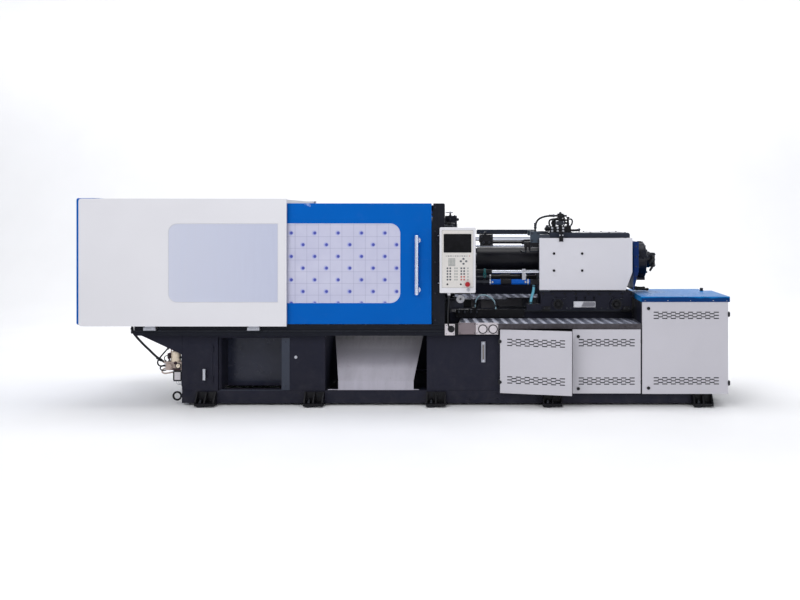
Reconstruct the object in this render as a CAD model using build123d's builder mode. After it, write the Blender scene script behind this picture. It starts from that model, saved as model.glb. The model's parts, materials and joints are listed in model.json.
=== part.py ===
from build123d import *
import math
import os

os.makedirs("parts", exist_ok=True)

# ---------------------------------------------------------------- dimensions
# millimetres; +X towards the injection end, +Y away from the operator, +Z up
AXIS = 1404.0  # height of the clamp and injection axis
BED_HALF = 580.0  # half width of the bed
BED_LOW, BEAM_TOP, BED_TOP = 25.0, 147.0, 684.0
BED_LEFT, BED_JOINT, BED_RIGHT = -2161.0, 938.0, 3003.0
WELD = 0.2  # gap left between welded plates
RAIL_LOW, RAIL_TOP = 690.0, 787.0  # beams that carry the sliding guards
DROP_LEFT, DROP_RIGHT = -768.0, 226.0  # opening where the mouldings fall
RECESS_LEFT, RECESS_RIGHT = -1791.0, -1118.0
TIE, TIE_R = 310.0, 50.0  # tie bars: half spacing and radius
PLATEN_HALF = 430.0
FIX_L, FIX_R = 170.0, 390.0  # fixed platen
CYL_L, CYL_R = -2010.0, -1790.0  # cylinder platen
MOV_L, MOV_R = -1100.0, -900.0  # moving platen, open
RAM_R = 130.0
GATE_L, GATE_R, GATE_LOW, GATE_TOP = -1230.0, 274.0, 802.0, 1969.0
GATE_Y, GATE_T = 648.0, 28.0  # distance of the gate's front face from the middle, thickness
GUARD_L, GUARD_R, GUARD_LOW, GUARD_TOP = -3111.0, -1116.0, 786.0, 2014.0
GUARD_Y = 700.0
FEET_X = (-1915.6, -865.9, 317.0, 1443.6, 2899.7)
ANCHOR_Y = 640.0  # line of the anchor holes
ANCHOR_R = 13.0
STEP_TOP = 805.0
CAB_Y = 640.0  # front face of the cabinet doors
CAB_L, CAB_R = 2311.0, 3152.0  # tall cabinet
HOOD_LOW, HOOD_TOP = 1015.0, 1067.0
AJAR = 11.6  # how far door 1 stands open, degrees
PANEL_L, PANEL_R, PANEL_LOW, PANEL_TOP = 362.0, 703.0, 1116.0, 1738.0
PANEL_FRONT, PANEL_BACK = -800.0, -712.0
PIVOT = (347.0, -690.0)  # upright pin of the operator's panel
BARREL_R = 55.0
SCREW_R = 24.9
CYL_Y = 200.0  # injection cylinders, either side of the barrel
ROD_Y = 298.0  # long rods the carriage slides along


# ---------------------------------------------------------------- small helpers
def block(x0, x1, y0, y1, z0, z1, mode=Mode.ADD):
    with Locations(((x0 + x1) / 2, (y0 + y1) / 2, (z0 + z1) / 2)):
        Box(x1 - x0, y1 - y0, z1 - z0, mode=mode)


def bar_x(x0, x1, y, z, r, mode=Mode.ADD):
    with Locations(((x0 + x1) / 2, y, z)):
        Cylinder(r, x1 - x0, rotation=(0, 90, 0), mode=mode)


def bar_y(y0, y1, x, z, r, mode=Mode.ADD):
    with Locations((x, (y0 + y1) / 2, z)):
        Cylinder(r, y1 - y0, rotation=(90, 0, 0), mode=mode)


def bar_z(z0, z1, x, y, r, mode=Mode.ADD):
    with Locations((x, y, (z0 + z1) / 2)):
        Cylinder(r, z1 - z0, mode=mode)


def both_sides(x0, x1, y0, y1, z0, z1):
    block(x0, x1, -y1, -y0, z0, z1)
    block(x0, x1, y0, y1, z0, z1)


def ring_y(x0, x1, z0, z1, hx0, hx1, hz0, hz1, y0, y1):
    # plate around a rectangular opening, welded from four strips
    block(x0, hx0 - WELD, y0, y1, z0, z1)
    block(hx1 + WELD, x1, y0, y1, z0, z1)
    block(hx0, hx1, y0, y1, z0, hz0)
    block(hx0, hx1, y0, y1, hz1, z1)


# ================================================================ base
with BuildPart() as clamp_bed:
    L, R = BED_LEFT, BED_JOINT - WELD
    both_sides(L, R, 480, BED_HALF, BED_LOW, BEAM_TOP)
    for x0, x1 in ((L, L + 100), (-1160, -1080), (-850, -790), (240, 300), (R - 100, R)):
        block(x0, x1, -480 + WELD, 480 - WELD, BED_LOW, BEAM_TOP)
    z0, z1 = BEAM_TOP + WELD, BED_TOP - 20 - WELD
    # front side: end bay with its service opening, open recess, plain bay, drop opening, gauge bay
    ring_y(L, RECESS_LEFT - 20 - WELD, z0, z1, L + 60, RECESS_LEFT - 80, 215, 600, -BED_HALF, -BED_HALF + 20)
    block(RECESS_RIGHT - 78, RECESS_RIGHT - WELD, -BED_HALF + 6, -BED_HALF + 18, z0, z1)
    block(RECESS_RIGHT + WELD, DROP_LEFT - WELD, -BED_HALF, -BED_HALF + 20, z0, z1)
    block(DROP_RIGHT + WELD, R, -BED_HALF, -BED_HALF + 20, z0, z1)
    block(L, R, BED_HALF - 20, BED_HALF, z0, z1)
    for x in (RECESS_LEFT - 20, RECESS_RIGHT, DROP_LEFT - 20, DROP_RIGHT):
        block(x, x + 20 - 2 * WELD, -BED_HALF + 20 + WELD, BED_HALF - 20 - WELD, z0, z1)
    for x in (L, R - 20):
        block(x, x + 20, -BED_HALF + 20 + WELD, BED_HALF - 20 - WELD, z0, z1)
    block(L, DROP_LEFT - WELD, -BED_HALF, BED_HALF, BED_TOP - 20, BED_TOP)
    block(DROP_RIGHT + WELD, R, -BED_HALF, BED_HALF, BED_TOP - 20, BED_TOP)
    # gussets that carry the overhanging end
    for y in (-BED_HALF, BED_HALF - 20):
        with BuildSketch(Plane.XZ.offset(-y)) as gusset:
            with BuildLine():
                Polyline((L - WELD, 497), (L - WELD, BED_TOP), (-2564, BED_TOP), close=True)
            make_face()
        extrude(to_extrude=gusset.sketch, amount=-20)

with BuildPart() as injection_bed:
    L, R = BED_JOINT, BED_RIGHT
    both_sides(L, R, 480, BED_HALF, BED_LOW, 120)
    for x0, x1 in ((L, L + 80), (1600, 1680), (R - 80, R)):
        block(x0, x1, -480 + WELD, 480 - WELD, BED_LOW, 120)
    for x in (L, 1640, 2236):
        for y in (-BED_HALF, BED_HALF - 60):
            block(x, x + 60, y, y + 60, 120 + WELD, BED_TOP - 20 - WELD)
    block(L, 2300, -BED_HALF, BED_HALF, BED_TOP - 20, BED_TOP)
    # pedestal under the injection unit
    block(430, BED_JOINT - WELD, -200, 200, BED_TOP + WELD, 868)
    block(BED_JOINT, 2290, -200, 200, BED_TOP + WELD, 868)

# hardened rails on top of the pedestal
with BuildPart() as carriage_rails:
    for y in (-150, 150):
        block(900, 2280, y - 25, y + 25, 868.2, 889)

# feet: a base plate with two gussets and a back plate; one anchor hole and one screw hole in each
with BuildPart() as foot_brackets:
    for x in FEET_X:
        for s in (-1, 1):
            y0, y1 = sorted((s * (BED_HALF + WELD), s * 680))
            block(x - 95, x + 95, y0, y1, 12, 37)
            y2, y3 = sorted((s * (BED_HALF + WELD), s * (BED_HALF + 14)))
            block(x - 95, x + 95, y2, y3, 37, 136)
            for gx in (x - 95, x - 7, x + 81):
                with BuildSketch(Plane.YZ.offset(gx)) as web:
                    with BuildLine():
                        Polyline(
                            (s * (BED_HALF + 13), 36), (s * 672, 36), (s * 672, 50),
                            (s * (BED_HALF + 24), 136), (s * (BED_HALF + 13), 136), close=True,
                        )
                    make_face()
                extrude(to_extrude=web.sketch, amount=14)
            bar_z(10, 40, x + 45, s * ANCHOR_Y, ANCHOR_R, mode=Mode.SUBTRACT)
            bar_z(10, 40, x - 45, s * ANCHOR_Y, 13.2, mode=Mode.SUBTRACT)

with BuildPart() as levelling_pads:
    for x in FEET_X:
        for s in (-1, 1):
            with Locations((x - 45, s * ANCHOR_Y, 5.5)):
                Cylinder(38, 11)
            bar_z(11, 70, x - 45, s * ANCHOR_Y, 12)
            with BuildSketch(Plane.XY.offset(37.2)) as nut:
                with Locations((x - 45, s * ANCHOR_Y)):
                    RegularPolygon(20.8, 6)
            extrude(to_extrude=nut.sketch, amount=19)

# sheet set back in the open recess of the bed, on the two bulkheads
with BuildPart() as bed_inset_panel:
    block(RECESS_LEFT + WELD, RECESS_RIGHT - WELD, -335, -332, BEAM_TOP + WELD, BED_TOP - 20 - WELD)

# hinged door over the service opening in the end bay
with BuildPart() as service_door:
    block(BED_LEFT + 50, RECESS_LEFT - 70, -BED_HALF - 4, -BED_HALF - 1, 205, 610)
    bar_z(230, 290, RECESS_LEFT - 66, -BED_HALF - 7, 6)
    bar_z(520, 580, RECESS_LEFT - 66, -BED_HALF - 7, 6)

with BuildPart() as service_handle:
    for z in (262, 340):
        block(-1942, -1922, -BED_HALF - 30, -BED_HALF - 4 - 0.02, z, z + 14)
    block(-1944, -1920, -BED_HALF - 44, -BED_HALF - 30, 254, 362)

# folded sheet under the mould: upright lip in front, then a slope rising to the back
with BuildPart() as drop_chute:
    with BuildSketch(Plane.YZ.offset(-640)) as side:
        with BuildLine():
            Polyline(
                (-574, 149), (-574, 240), (-110, 655), (-106, 651), (-571, 237), (-571, 149), close=True,
            )
        make_face()
    extrude(to_extrude=side.sketch, amount=735)
    # the slope is wider at the top than at the lip
    for sx, x_lip, x_top in ((-1, -640, -755), (1, 95, 160)):
        with BuildSketch(Plane(origin=(0, -574, 240), x_dir=(1, 0, 0), z_dir=(0, -415, 464))) as wing:
            with BuildLine():
                slope = math.hypot(464, 415)
                Polyline((x_lip - 0.5 * sx, 0), (x_top, slope), (x_lip - 0.5 * sx, slope), close=True)
            make_face()
        extrude(to_extrude=wing.sketch, amount=-3)
drop_chute.part.label = "drop_chute"
export_step(drop_chute.part, "parts/drop_chute.step")

# lower beams of the guards, with a ledge for the outer guard's carriages and a track on top
with BuildPart() as gate_rails:
    for s in (-1, 1):
        y0, y1 = sorted((s * 585, s * 652))
        block(-2597, 500, y0, y1, RAIL_LOW, RAIL_TOP)
        y0, y1 = sorted((s * 652.2, s * 668))
        block(-2597, 500, y0, y1, 735, 741)
        y0, y1 = sorted((s * 628, s * 640))
        block(-2540, 480, y0, y1, RAIL_TOP + 0.2, RAIL_TOP + 8)
gate_rails.part.label = "gate_rails"
export_step(gate_rails.part, "parts/gate_rails.step")

with BuildPart() as platen_rails:
    for s in (-1, 1):
        y0, y1 = sorted((s * 330, s * 430))
        block(CYL_R + 0.2, FIX_L - 0.2, y0, y1, BED_TOP + WELD, 858)
        y0, y1 = sorted((s * 350, s * 410))
        block(CYL_R + 0.2, FIX_L - 0.2, y0, y1, 858.2, 870)

with BuildPart() as oil_gauge:
    block(755, 795, -BED_HALF - 24, -BED_HALF - 0.2, 425, 625)
    block(764, 786, -BED_HALF - 30, -BED_HALF - 24, 452, 598)
    for z in (438, 612):
        bar_y(-BED_HALF - 34, -BED_HALF - 24, 775, z, 9)

# ring bolt low on the bed's end
with BuildPart() as lifting_ring:
    with Locations(Location((-2222, -540, 86), (90, 0, 0))):
        Torus(38, 9)
    bar_x(-2186, BED_LEFT - 0.2, -540, 86, 13)

# ================================================================ clamp
with BuildPart() as fixed_platen:
    with BuildSketch(Plane.YZ.offset(FIX_L)) as face:
        with Locations((0, AXIS)):
            RectangleRounded(2 * PLATEN_HALF, 2 * PLATEN_HALF, 70)
        with Locations((-380, 837), (380, 837)):
            Rectangle(100, 305.6)
    extrude(to_extrude=face.sketch, amount=FIX_R - FIX_L)
    with Locations(*[(FIX_L, y, AXIS + z) for y in (-TIE, TIE) for z in (-TIE, TIE)]):
        Cylinder(TIE_R, 800, rotation=(0, 90, 0), mode=Mode.SUBTRACT)
    bar_x(FIX_L - 1, FIX_L + 20, 0, AXIS, 80, mode=Mode.SUBTRACT)
    bar_x(FIX_L + 19, FIX_L + 70, 0, AXIS, 32, mode=Mode.SUBTRACT)
    bar_x(FIX_L + 69, FIX_R + 1, 0, AXIS, 90, mode=Mode.SUBTRACT)
    for y in (-210, 210):
        for z in (-210, 210):
            bar_x(FIX_L - 1, FIX_L + 45, y, AXIS + z, 10, mode=Mode.SUBTRACT)
fixed_platen.part.label = "fixed_platen"
export_step(fixed_platen.part, "parts/fixed_platen.step")

with BuildPart() as cylinder_platen:
    with BuildSketch(Plane.YZ.offset(CYL_L)) as face:
        with Locations((0, AXIS)):
            RectangleRounded(2 * PLATEN_HALF, 2 * PLATEN_HALF, 70)
        with Locations((-380, 837), (380, 837)):
            Rectangle(100, 305.6)
    extrude(to_extrude=face.sketch, amount=CYL_R - CYL_L)
    with Locations(*[(CYL_L, y, AXIS + z) for y in (-TIE, TIE) for z in (-TIE, TIE)]):
        Cylinder(TIE_R, 800, rotation=(0, 90, 0), mode=Mode.SUBTRACT)
    bar_x(CYL_L - 1, CYL_R + 1, 0, AXIS, RAM_R + 0.4, mode=Mode.SUBTRACT)
cylinder_platen.part.label = "cylinder_platen"
export_step(cylinder_platen.part, "parts/cylinder_platen.step")

with BuildPart() as tie_bars:
    for y in (-TIE, TIE):
        for z in (-TIE, TIE):
            bar_x(CYL_L - 95, FIX_R + 95, y, AXIS + z, TIE_R)

with BuildPart() as tie_bar_nuts:
    for x in (CYL_L - 75, FIX_R + 0.1):
        for y in (-TIE, TIE):
            for z in (-TIE, TIE):
                bar_x(x, x + 74.9, y, AXIS + z, 62)
                bar_x(x - 1, x + 76, y, AXIS + z, TIE_R + 0.05, mode=Mode.SUBTRACT)

with BuildPart() as clamp_cylinder:
    bar_x(-2860, CYL_L - 0.1, 0, AXIS, 195)
    bar_x(CYL_L - 60, CYL_L - 0.1, 0, AXIS, 240)
    bar_x(-2815, CYL_L + 1, 0, AXIS, RAM_R + 6, mode=Mode.SUBTRACT)
    with Locations(*[(CYL_L - 30, 215 * math.cos(math.radians(a)), AXIS + 215 * math.sin(math.radians(a))) for a in range(15, 375, 30)]):
        Cylinder(11, 80, rotation=(0, 90, 0), mode=Mode.SUBTRACT)

# gland that seals the ram, on the platen's front face
with BuildPart() as ram_gland:
    bar_x(CYL_R + 0.1, CYL_R + 45, 0, AXIS, 190)
    bar_x(CYL_R - 1, CYL_R + 46, 0, AXIS, RAM_R + 0.05, mode=Mode.SUBTRACT)

with BuildPart() as prefill_valve:
    block(-2960, -2860.2, -95, 95, AXIS - 95, AXIS + 95)
    bar_z(AXIS + 95, AXIS + 230, -2910, 0, 45)

with BuildPart() as moving_platen:
    with BuildSketch(Plane.YZ.offset(MOV_L)) as face:
        with Locations((0, AXIS)):
            RectangleRounded(2 * PLATEN_HALF, 2 * PLATEN_HALF, 70)
        with Locations((-380, 932), (380, 932)):
            Rectangle(90, 116)
    extrude(to_extrude=face.sketch, amount=MOV_R - MOV_L)
    with Locations(*[(MOV_L, y, AXIS + z) for y in (-TIE, TIE) for z in (-TIE, TIE)]):
        Cylinder(TIE_R + 15.1, 800, rotation=(0, 90, 0), mode=Mode.SUBTRACT)
    bar_x(MOV_L - 1, MOV_R + 1, 0, AXIS, 23, mode=Mode.SUBTRACT)
    for y in (-210, 210):
        for z in (-210, 210):
            bar_x(MOV_R - 45, MOV_R + 1, y, AXIS + z, 10, mode=Mode.SUBTRACT)

with BuildPart() as platen_bushes:
    for y in (-TIE, TIE):
        for z in (-TIE, TIE):
            bar_x(MOV_L - 20, MOV_R, y, AXIS + z, TIE_R + 15)
            bar_x(MOV_L - 20, MOV_L - 0.1, y, AXIS + z, TIE_R + 30)
            bar_x(MOV_L - 21, MOV_R + 1, y, AXIS + z, TIE_R + 0.05, mode=Mode.SUBTRACT)

# shoes that slide on the guide rails
with BuildPart() as platen_shoes:
    for y in (-380, 380):
        block(MOV_L - 60, MOV_R + 40, y - 35, y + 35, 870.5, 873.8)

# ram with a flange; four posts leave room for the ejector bar
with BuildPart() as clamp_ram:
    bar_x(-2700, -1500, 0, AXIS, RAM_R)
    with BuildSketch(Plane.YZ.offset(-1500)) as flange:
        with Locations((0, AXIS)):
            RectangleRounded(440, 440, 60)
    extrude(to_extrude=flange.sketch, amount=40)
    for y in (-170, 170):
        for z in (-170, 170):
            bar_x(-1460.5, MOV_L - 0.1, y, AXIS + z, 34)
clamp_ram.part.label = "clamp_ram"
export_step(clamp_ram.part, "parts/clamp_ram.step")

with BuildPart() as ejector_cylinders:
    for y in (-250, 250):
        bar_x(-1240, MOV_L - 0.1, y, AXIS, 46)
        bar_x(-1241, MOV_L - 4, y, AXIS, 18.05, mode=Mode.SUBTRACT)

with BuildPart() as ejector_bar:
    with BuildSketch(Plane.YZ.offset(-1420)) as bar:
        with Locations((0, AXIS)):
            RectangleRounded(600, 96, 20)
    extrude(to_extrude=bar.sketch, amount=30)

with BuildPart() as ejector_rods:
    bar_x(-1389.9, MOV_R - 5, 0, AXIS, 22.5)
    for y in (-250, 250):
        bar_x(-1389.9, -1232, y, AXIS, 18)

# ================================================================ guards
with BuildPart() as end_cover:
    block(-3160, -2985, -662, 662, 795, 2020)
    fillet(end_cover.edges().filter_by(Axis.Z).group_by(Axis.X)[0], 28)
    fillet(end_cover.faces().sort_by(Axis.X)[0].edges().filter_by(Axis.Y), 18)
    offset(amount=-3, openings=end_cover.faces().sort_by(Axis.X)[-1])
end_cover.part.label = "end_cover"
export_step(end_cover.part, "parts/end_cover.step")

with BuildPart() as guard_frame:
    for s in (-1, 1):
        y0, y1 = sorted((s * 545, s * 597))
        for x0, x1 in ((-2975, -2915), (-1290, -1240), (300, 380 if s < 0 else 334)):
            low = RAIL_TOP + 0.2 if x0 > -2600 else 800
            block(x0, x1, y0, y1, low if x0 > -2600 else RAIL_TOP + 0.2, 1899.8)
        block(-2975, 380 if s < 0 else 334, y0, y1, 1900, 1950)
        block(-2975, -2500, y0, y1, RAIL_TOP + 0.2, 850)
    for x, w in ((-2975, 50), (-1290, 50), (312, 24)):
        block(x, x + w, -544.8, 544.8, 1900, 1950)
    block(-2975, -2925, -544.8, 544.8, 800, 850)

with BuildPart() as roof_cover:
    block(-2984, -1140, -668, 668, 1972, 2008)
    offset(amount=-2.5, openings=roof_cover.faces().sort_by(Axis.Z)[0])
    # strips that rest on the guard frame
    both_sides(-2970, -1150, 550, 592, 1950.2, 2006)

with BuildPart() as guard_columns:
    for s in (-1, 1):
        block(292, 402 if s < 0 else 335, *sorted((s * 598, s * 650)), 796, 1969)
    chamfer(
        guard_columns.faces().filter_by(Axis.Z).group_by(Axis.Z)[-1].edges().filter_by(Axis.Y).group_by(Axis.X)[-1], 8
    )


def pan_shape(x0, x1, z0, z1, y0, y1, r, mode=Mode.ADD):
    # plate in the XZ plane whose two left corners are rounded
    with BuildSketch(Plane.XZ.offset(-y0)) as outline:
        with BuildLine():
            Polyline((x0, z0), (x1, z0), (x1, z1), (x0, z1), close=True)
        make_face()
        if r:
            fillet(outline.vertices().group_by(Axis.X)[0], r)
    extrude(to_extrude=outline.sketch, amount=y0 - y1, mode=mode)


def guard_door(x0, x1, z0, z1, front, s, wx0, wx1, wz0, wz1, radii, corner=0):
    # folded pan 28 deep with 3 mm sheet; the window opening has a folded edge too
    y0, y1 = sorted((s * front, s * (front - GATE_T)))
    pan_shape(x0, x1, z0, z1, y0, y1, corner)
    yb0, yb1 = sorted((s * (front - 3), s * (front - GATE_T - 1)))
    pan_shape(x0 + 3, x1 - 3, z0 + 3, z1 - 3, yb0, yb1, max(corner - 3, 0), Mode.SUBTRACT)
    for grow, mode in ((3, Mode.ADD), (0, Mode.SUBTRACT)):
        with BuildSketch(Plane.XZ.offset(-y0)) as hole:
            r_left, r_right = radii
            with BuildLine():
                a, b, c, d = wx0 - grow, wx1 + grow, wz0 - grow, wz1 + grow
                Polyline((a, c), (b, c), (b, d), (a, d), close=True)
            make_face()
            fillet(hole.vertices().group_by(Axis.X)[0], r_left + grow)
            fillet(hole.vertices().group_by(Axis.X)[-1], r_right + grow)
        extrude(to_extrude=hole.sketch, amount=-GATE_T, mode=mode)


# sliding gate in front of the mould
with BuildPart() as front_gate:
    guard_door(GATE_L, GATE_R, GATE_LOW, GATE_TOP, GATE_Y, -1, -1150, -27, 1005, 1775, (100, 100))

with BuildPart() as rear_gate:
    guard_door(GATE_L, GATE_R, GATE_LOW, GATE_TOP, GATE_Y, 1, -1150, -27, 1005, 1775, (100, 100))

with BuildPart() as clamp_guard:
    guard_door(GUARD_L, GUARD_R, GUARD_LOW, GUARD_TOP, GUARD_Y, -1, -2251, -1195, 1016, 1775, (85, 4), 26)
clamp_guard.part.label = "clamp_guard"
export_step(clamp_guard.part, "parts/clamp_guard.step")

with BuildPart() as rear_clamp_cover:
    block(GUARD_L, GUARD_R, GUARD_Y - GATE_T, GUARD_Y, GUARD_LOW, GUARD_TOP)
    block(GUARD_L + 3, GUARD_R - 3, GUARD_Y - GATE_T - 1, GUARD_Y - 3, GUARD_LOW + 3, GUARD_TOP - 3, mode=Mode.SUBTRACT)


def pane(x0, x1, z0, z1, y0, y1, radii):
    with BuildSketch(Plane.XZ.offset(-y0)) as sheet:
        with BuildLine():
            Polyline((x0, z0), (x1, z0), (x1, z1), (x0, z1), close=True)
        make_face()
        fillet(sheet.vertices().group_by(Axis.X)[0], radii[0])
        fillet(sheet.vertices().group_by(Axis.X)[-1], radii[1])
    extrude(to_extrude=sheet.sketch, amount=-(y1 - y0))


# clear sheets set just inside the window openings
with BuildPart() as front_gate_window:
    pane(-1149.8, -27.2, 1005.2, 1774.8, -646, -642, (99.8, 99.8))
front_gate_window.part.label = "front_gate_window"
export_step(front_gate_window.part, "parts/front_gate_window.step")

with BuildPart() as rear_gate_window:
    pane(-1149.8, -27.2, 1005.2, 1774.8, 642, 646, (99.8, 99.8))

with BuildPart() as clamp_guard_window:
    pane(-2250.8, -1195.2, 1016.2, 1774.8, -698, -694, (84.8, 3.8))
clamp_guard_window.part.label = "clamp_guard_window"
export_step(clamp_guard_window.part, "parts/clamp_guard_window.step")

# tubular pull handle on two feet, and plain shoes: two under each gate, two at its top
with BuildPart() as front_gate_handle:
    bar_z(1086, 1663, 135, -692, 19)
    fillet(front_gate_handle.edges().filter_by(GeomType.CIRCLE), 8)
    for z in (1134, 1613):
        bar_y(-690, -651, 141, z, 15)
        bar_y(-655, -GATE_Y - 0.02, 141, z, 29)
front_gate_handle.part.label = "front_gate_handle"
export_step(front_gate_handle.part, "parts/front_gate_handle.step")

with BuildPart() as rear_gate_handle:
    bar_z(1086, 1663, 135, 692, 19)
    fillet(rear_gate_handle.edges().filter_by(GeomType.CIRCLE), 8)
    for z in (1134, 1613):
        bar_y(651, 690, 141, z, 15)
        bar_y(GATE_Y + 0.02, 655, 141, z, 29)

with BuildPart() as gate_shoes:
    for x in (GATE_L + 60, GATE_R - 180):
        block(x, x + 120, 628, 640, RAIL_TOP + 8.6, GATE_LOW - 0.1)
        block(x, x + 120, 600, 619.8, 1915, 1945)

with BuildPart() as front_gate_whole:
    add(front_gate.part)
    add(mirror(gate_shoes.part, Plane.XZ, mode=Mode.PRIVATE))
front_gate_whole.part.label = "front_gate"
export_step(front_gate_whole.part, "parts/front_gate.step")

with BuildPart() as rear_gate_whole:
    add(rear_gate.part)
    add(rear_gate_window.part)
    add(rear_gate_handle.part)
    add(gate_shoes.part)
rear_gate_whole.part.label = "rear_gate"
export_step(rear_gate_whole.part, "parts/rear_gate.step")

with BuildPart() as guard_carriages:
    for x in (-2491, -1493):
        block(x, x + 118, -697, -655, 746, 775)
        block(x + 10, x + 108, -684, -672, 775, GUARD_LOW - 0.02)
        for hx in (x + 24, x + 59, x + 94):
            bar_y(-700, -650, hx, 760, 7, mode=Mode.SUBTRACT)
guard_carriages.part.label = "guard_carriages"
export_step(guard_carriages.part, "parts/guard_carriages.step")

# ================================================================ operator's panel
with BuildPart() as panel_bracket:
    for z in (1230, 1600):
        block(PIVOT[0] - 25, PIVOT[0] + 25, PIVOT[1] - 14, -650.2, z, z + 30)
        bar_z(z - 1, z + 31, *PIVOT, 8.3, mode=Mode.SUBTRACT)

with BuildPart() as panel_housing:
    block(PANEL_L, PANEL_R, PANEL_FRONT, PANEL_BACK, PANEL_LOW, PANEL_TOP)
    fillet(panel_housing.edges().filter_by(Axis.Y), 12)
    fillet(panel_housing.faces().sort_by(Axis.Y)[0].edges(), 4)
    # recess for the membrane
    block(384, 681, PANEL_FRONT - 1, PANEL_FRONT + 3, 1166, 1712, mode=Mode.SUBTRACT)
    # pin and two ears of the swivel
    bar_z(1205, 1655, *PIVOT, 8)
    for z in (1262, 1566):
        block(PIVOT[0] - 12, PANEL_L + 20, PIVOT[1] - 14, PIVOT[1] + 12, z, z + 30)
        block(PANEL_L + 4, PANEL_L + 40, PANEL_BACK - 2, PIVOT[1] + 12, z, z + 30)
    bar_z(PANEL_LOW - 26, PANEL_LOW + 1, 448, -752, 15)
    bar_y(PANEL_FRONT, PANEL_FRONT + 40, 628, 1200, 11.3, mode=Mode.SUBTRACT)
    bar_y(PANEL_FRONT, PANEL_FRONT + 40, 635, 1147, 9.3, mode=Mode.SUBTRACT)
panel_housing.part.label = "panel_housing"
export_step(panel_housing.part, "parts/panel_housing.step")

with BuildPart() as panel_keypad:
    block(384.2, 680.8, PANEL_FRONT + 0.6, PANEL_FRONT + 3, 1166.2, 1711.8)
    block(403, 661, PANEL_FRONT - 1, PANEL_FRONT + 4, 1502, 1674, mode=Mode.SUBTRACT)
    bar_y(PANEL_FRONT - 1, PANEL_FRONT + 40, 628, 1200, 12, mode=Mode.SUBTRACT)

with BuildPart() as panel_screen:
    block(403.2, 660.8, PANEL_FRONT + 1.2, PANEL_FRONT + 3, 1502.2, 1673.8)

with BuildPart() as emergency_stop:
    bar_y(PANEL_FRONT - 40, PANEL_FRONT - 14, 628, 1200, 24)
    fillet(emergency_stop.edges().filter_by(GeomType.CIRCLE).sort_by(Axis.Y)[0], 9)
    bar_y(PANEL_FRONT - 15, PANEL_FRONT + 30, 628, 1200, 11)
emergency_stop.part.label = "emergency_stop"
export_step(emergency_stop.part, "parts/emergency_stop.step")

with BuildPart() as key_switch:
    bar_y(PANEL_FRONT - 10, PANEL_FRONT - 0.5, 635, 1147, 15)
    bar_y(PANEL_FRONT - 1, PANEL_FRONT + 30, 635, 1147, 9)
    block(633, 637, PANEL_FRONT - 34, PANEL_FRONT - 9, 1133, 1161)
key_switch.part.label = "key_switch"
export_step(key_switch.part, "parts/key_switch.step")

# plates at the end of the lower guard beam
with BuildPart() as grommet_plate:
    block(501, 530, -652, -640.2, 697, 806)
    block(405, 500.8, -670, -668.4, 697, 806)
    bar_y(-680, -660, 466, 757, 30, mode=Mode.SUBTRACT)

# ================================================================ steps, cabinets
with BuildPart() as front_step:
    block(535, CAB_L - 6, -640, -203, STEP_TOP - 5, STEP_TOP)
    block(535, CAB_L - 6, -640, -636, 756, STEP_TOP - 5)
    for x in (700, 1200, 1700, 2200):
        block(x, x + 40, -560, -520, BED_TOP + 0.2, STEP_TOP - 5)

with BuildPart() as service_plate:
    block(704, 918, -653, -640.2, 703, 815)
    block(535, 703.8, -650, -640.2, 703, 815)
    for x in (771, 870):
        bar_y(-668, -652, x, 756, 44)

# electrical cabinet at the back, under the raised rear step
EL_L, EL_R = 560.0, 1400.0
with BuildPart() as electrical_cabinet:
    block(EL_L, EL_R, 620, 624, 150, 930)
    block(EL_L, EL_L + 4, 624.2, 812, 150, 930)
    block(EL_R - 4, EL_R, 624.2, 812, 150, 930)
    block(EL_L + 4.2, EL_R - 4.2, 624.2, 812, 150, 154)
    block(EL_L + 4.2, EL_R - 4.2, 624.2, 812, 926, 930)
    block(EL_L + 60, EL_R - 60, 624.2, 628, 200, 880)
    for i in range(4):
        block(EL_L + 100 + i * 165, EL_L + 230 + i * 165, 628.2, 720, 620, 820)
        block(EL_L + 100 + i * 165, EL_L + 230 + i * 165, 628.2, 700, 300, 480)

# sheet guard that stands on the rear step's far edge
with BuildPart() as rear_guard:
    block(620, 1500, 796, 824, 958.2, 1483)
    block(623, 1497, 799, 825, 961.2, 1480, mode=Mode.SUBTRACT)
    for x in (910, 1205):
        block(x, x + 5, 799, 820, 961.2, 1480)

with BuildPart() as rear_step:
    block(406, CAB_L - 6, 390, 828, 953, 958)
    block(406, 1020, 215, 391, 953, 958)
    block(406, CAB_L - 6, 824, 828, 932, 953)
    block(406, 556, 250, 254, 690, 954)
    for x in (700, 1200, 1700, 2200):
        block(x, x + 40, 520, 560, BED_TOP + 0.2, 953)

with BuildPart() as electrical_door:
    block(EL_L + 2, EL_R - 2, 813, 832, 152, 928)
    block(EL_L + 4.5, EL_R - 4.5, 812, 829.5, 154.5, 925.5, mode=Mode.SUBTRACT)
    for z in (230, 800):
        bar_z(z, z + 50, EL_L - 5, 829, 6)
        block(EL_L - 5, EL_L + 10, 826, 831, z, z + 50)
    block(EL_R - 70, EL_R - 52, 832, 840, 480, 600)
electrical_door.part.label = "electrical_door"
export_step(electrical_door.part, "parts/electrical_door.step")

# fixed panels of the two low cabinets and the tall one
with BuildPart() as cabinet_panels:
    block(CAB_L - 4, CAB_L, -612, 600, 126, HOOD_LOW - 0.2)
    block(CAB_R - 4, CAB_R, -612, 600, 126, HOOD_LOW - 0.2)
    block(CAB_L + 0.2, CAB_R - 4.2, 597, 600, 138, HOOD_LOW - 0.2)
    block(1634, 1637, -612, -400, 126, 660)
    block(CAB_L + 0.2, CAB_R - 4.2, -611, -597, 990, HOOD_LOW - 0.2)
    block(CAB_L + 0.2, CAB_R - 4.2, -596, 596, 137, 141)

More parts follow.
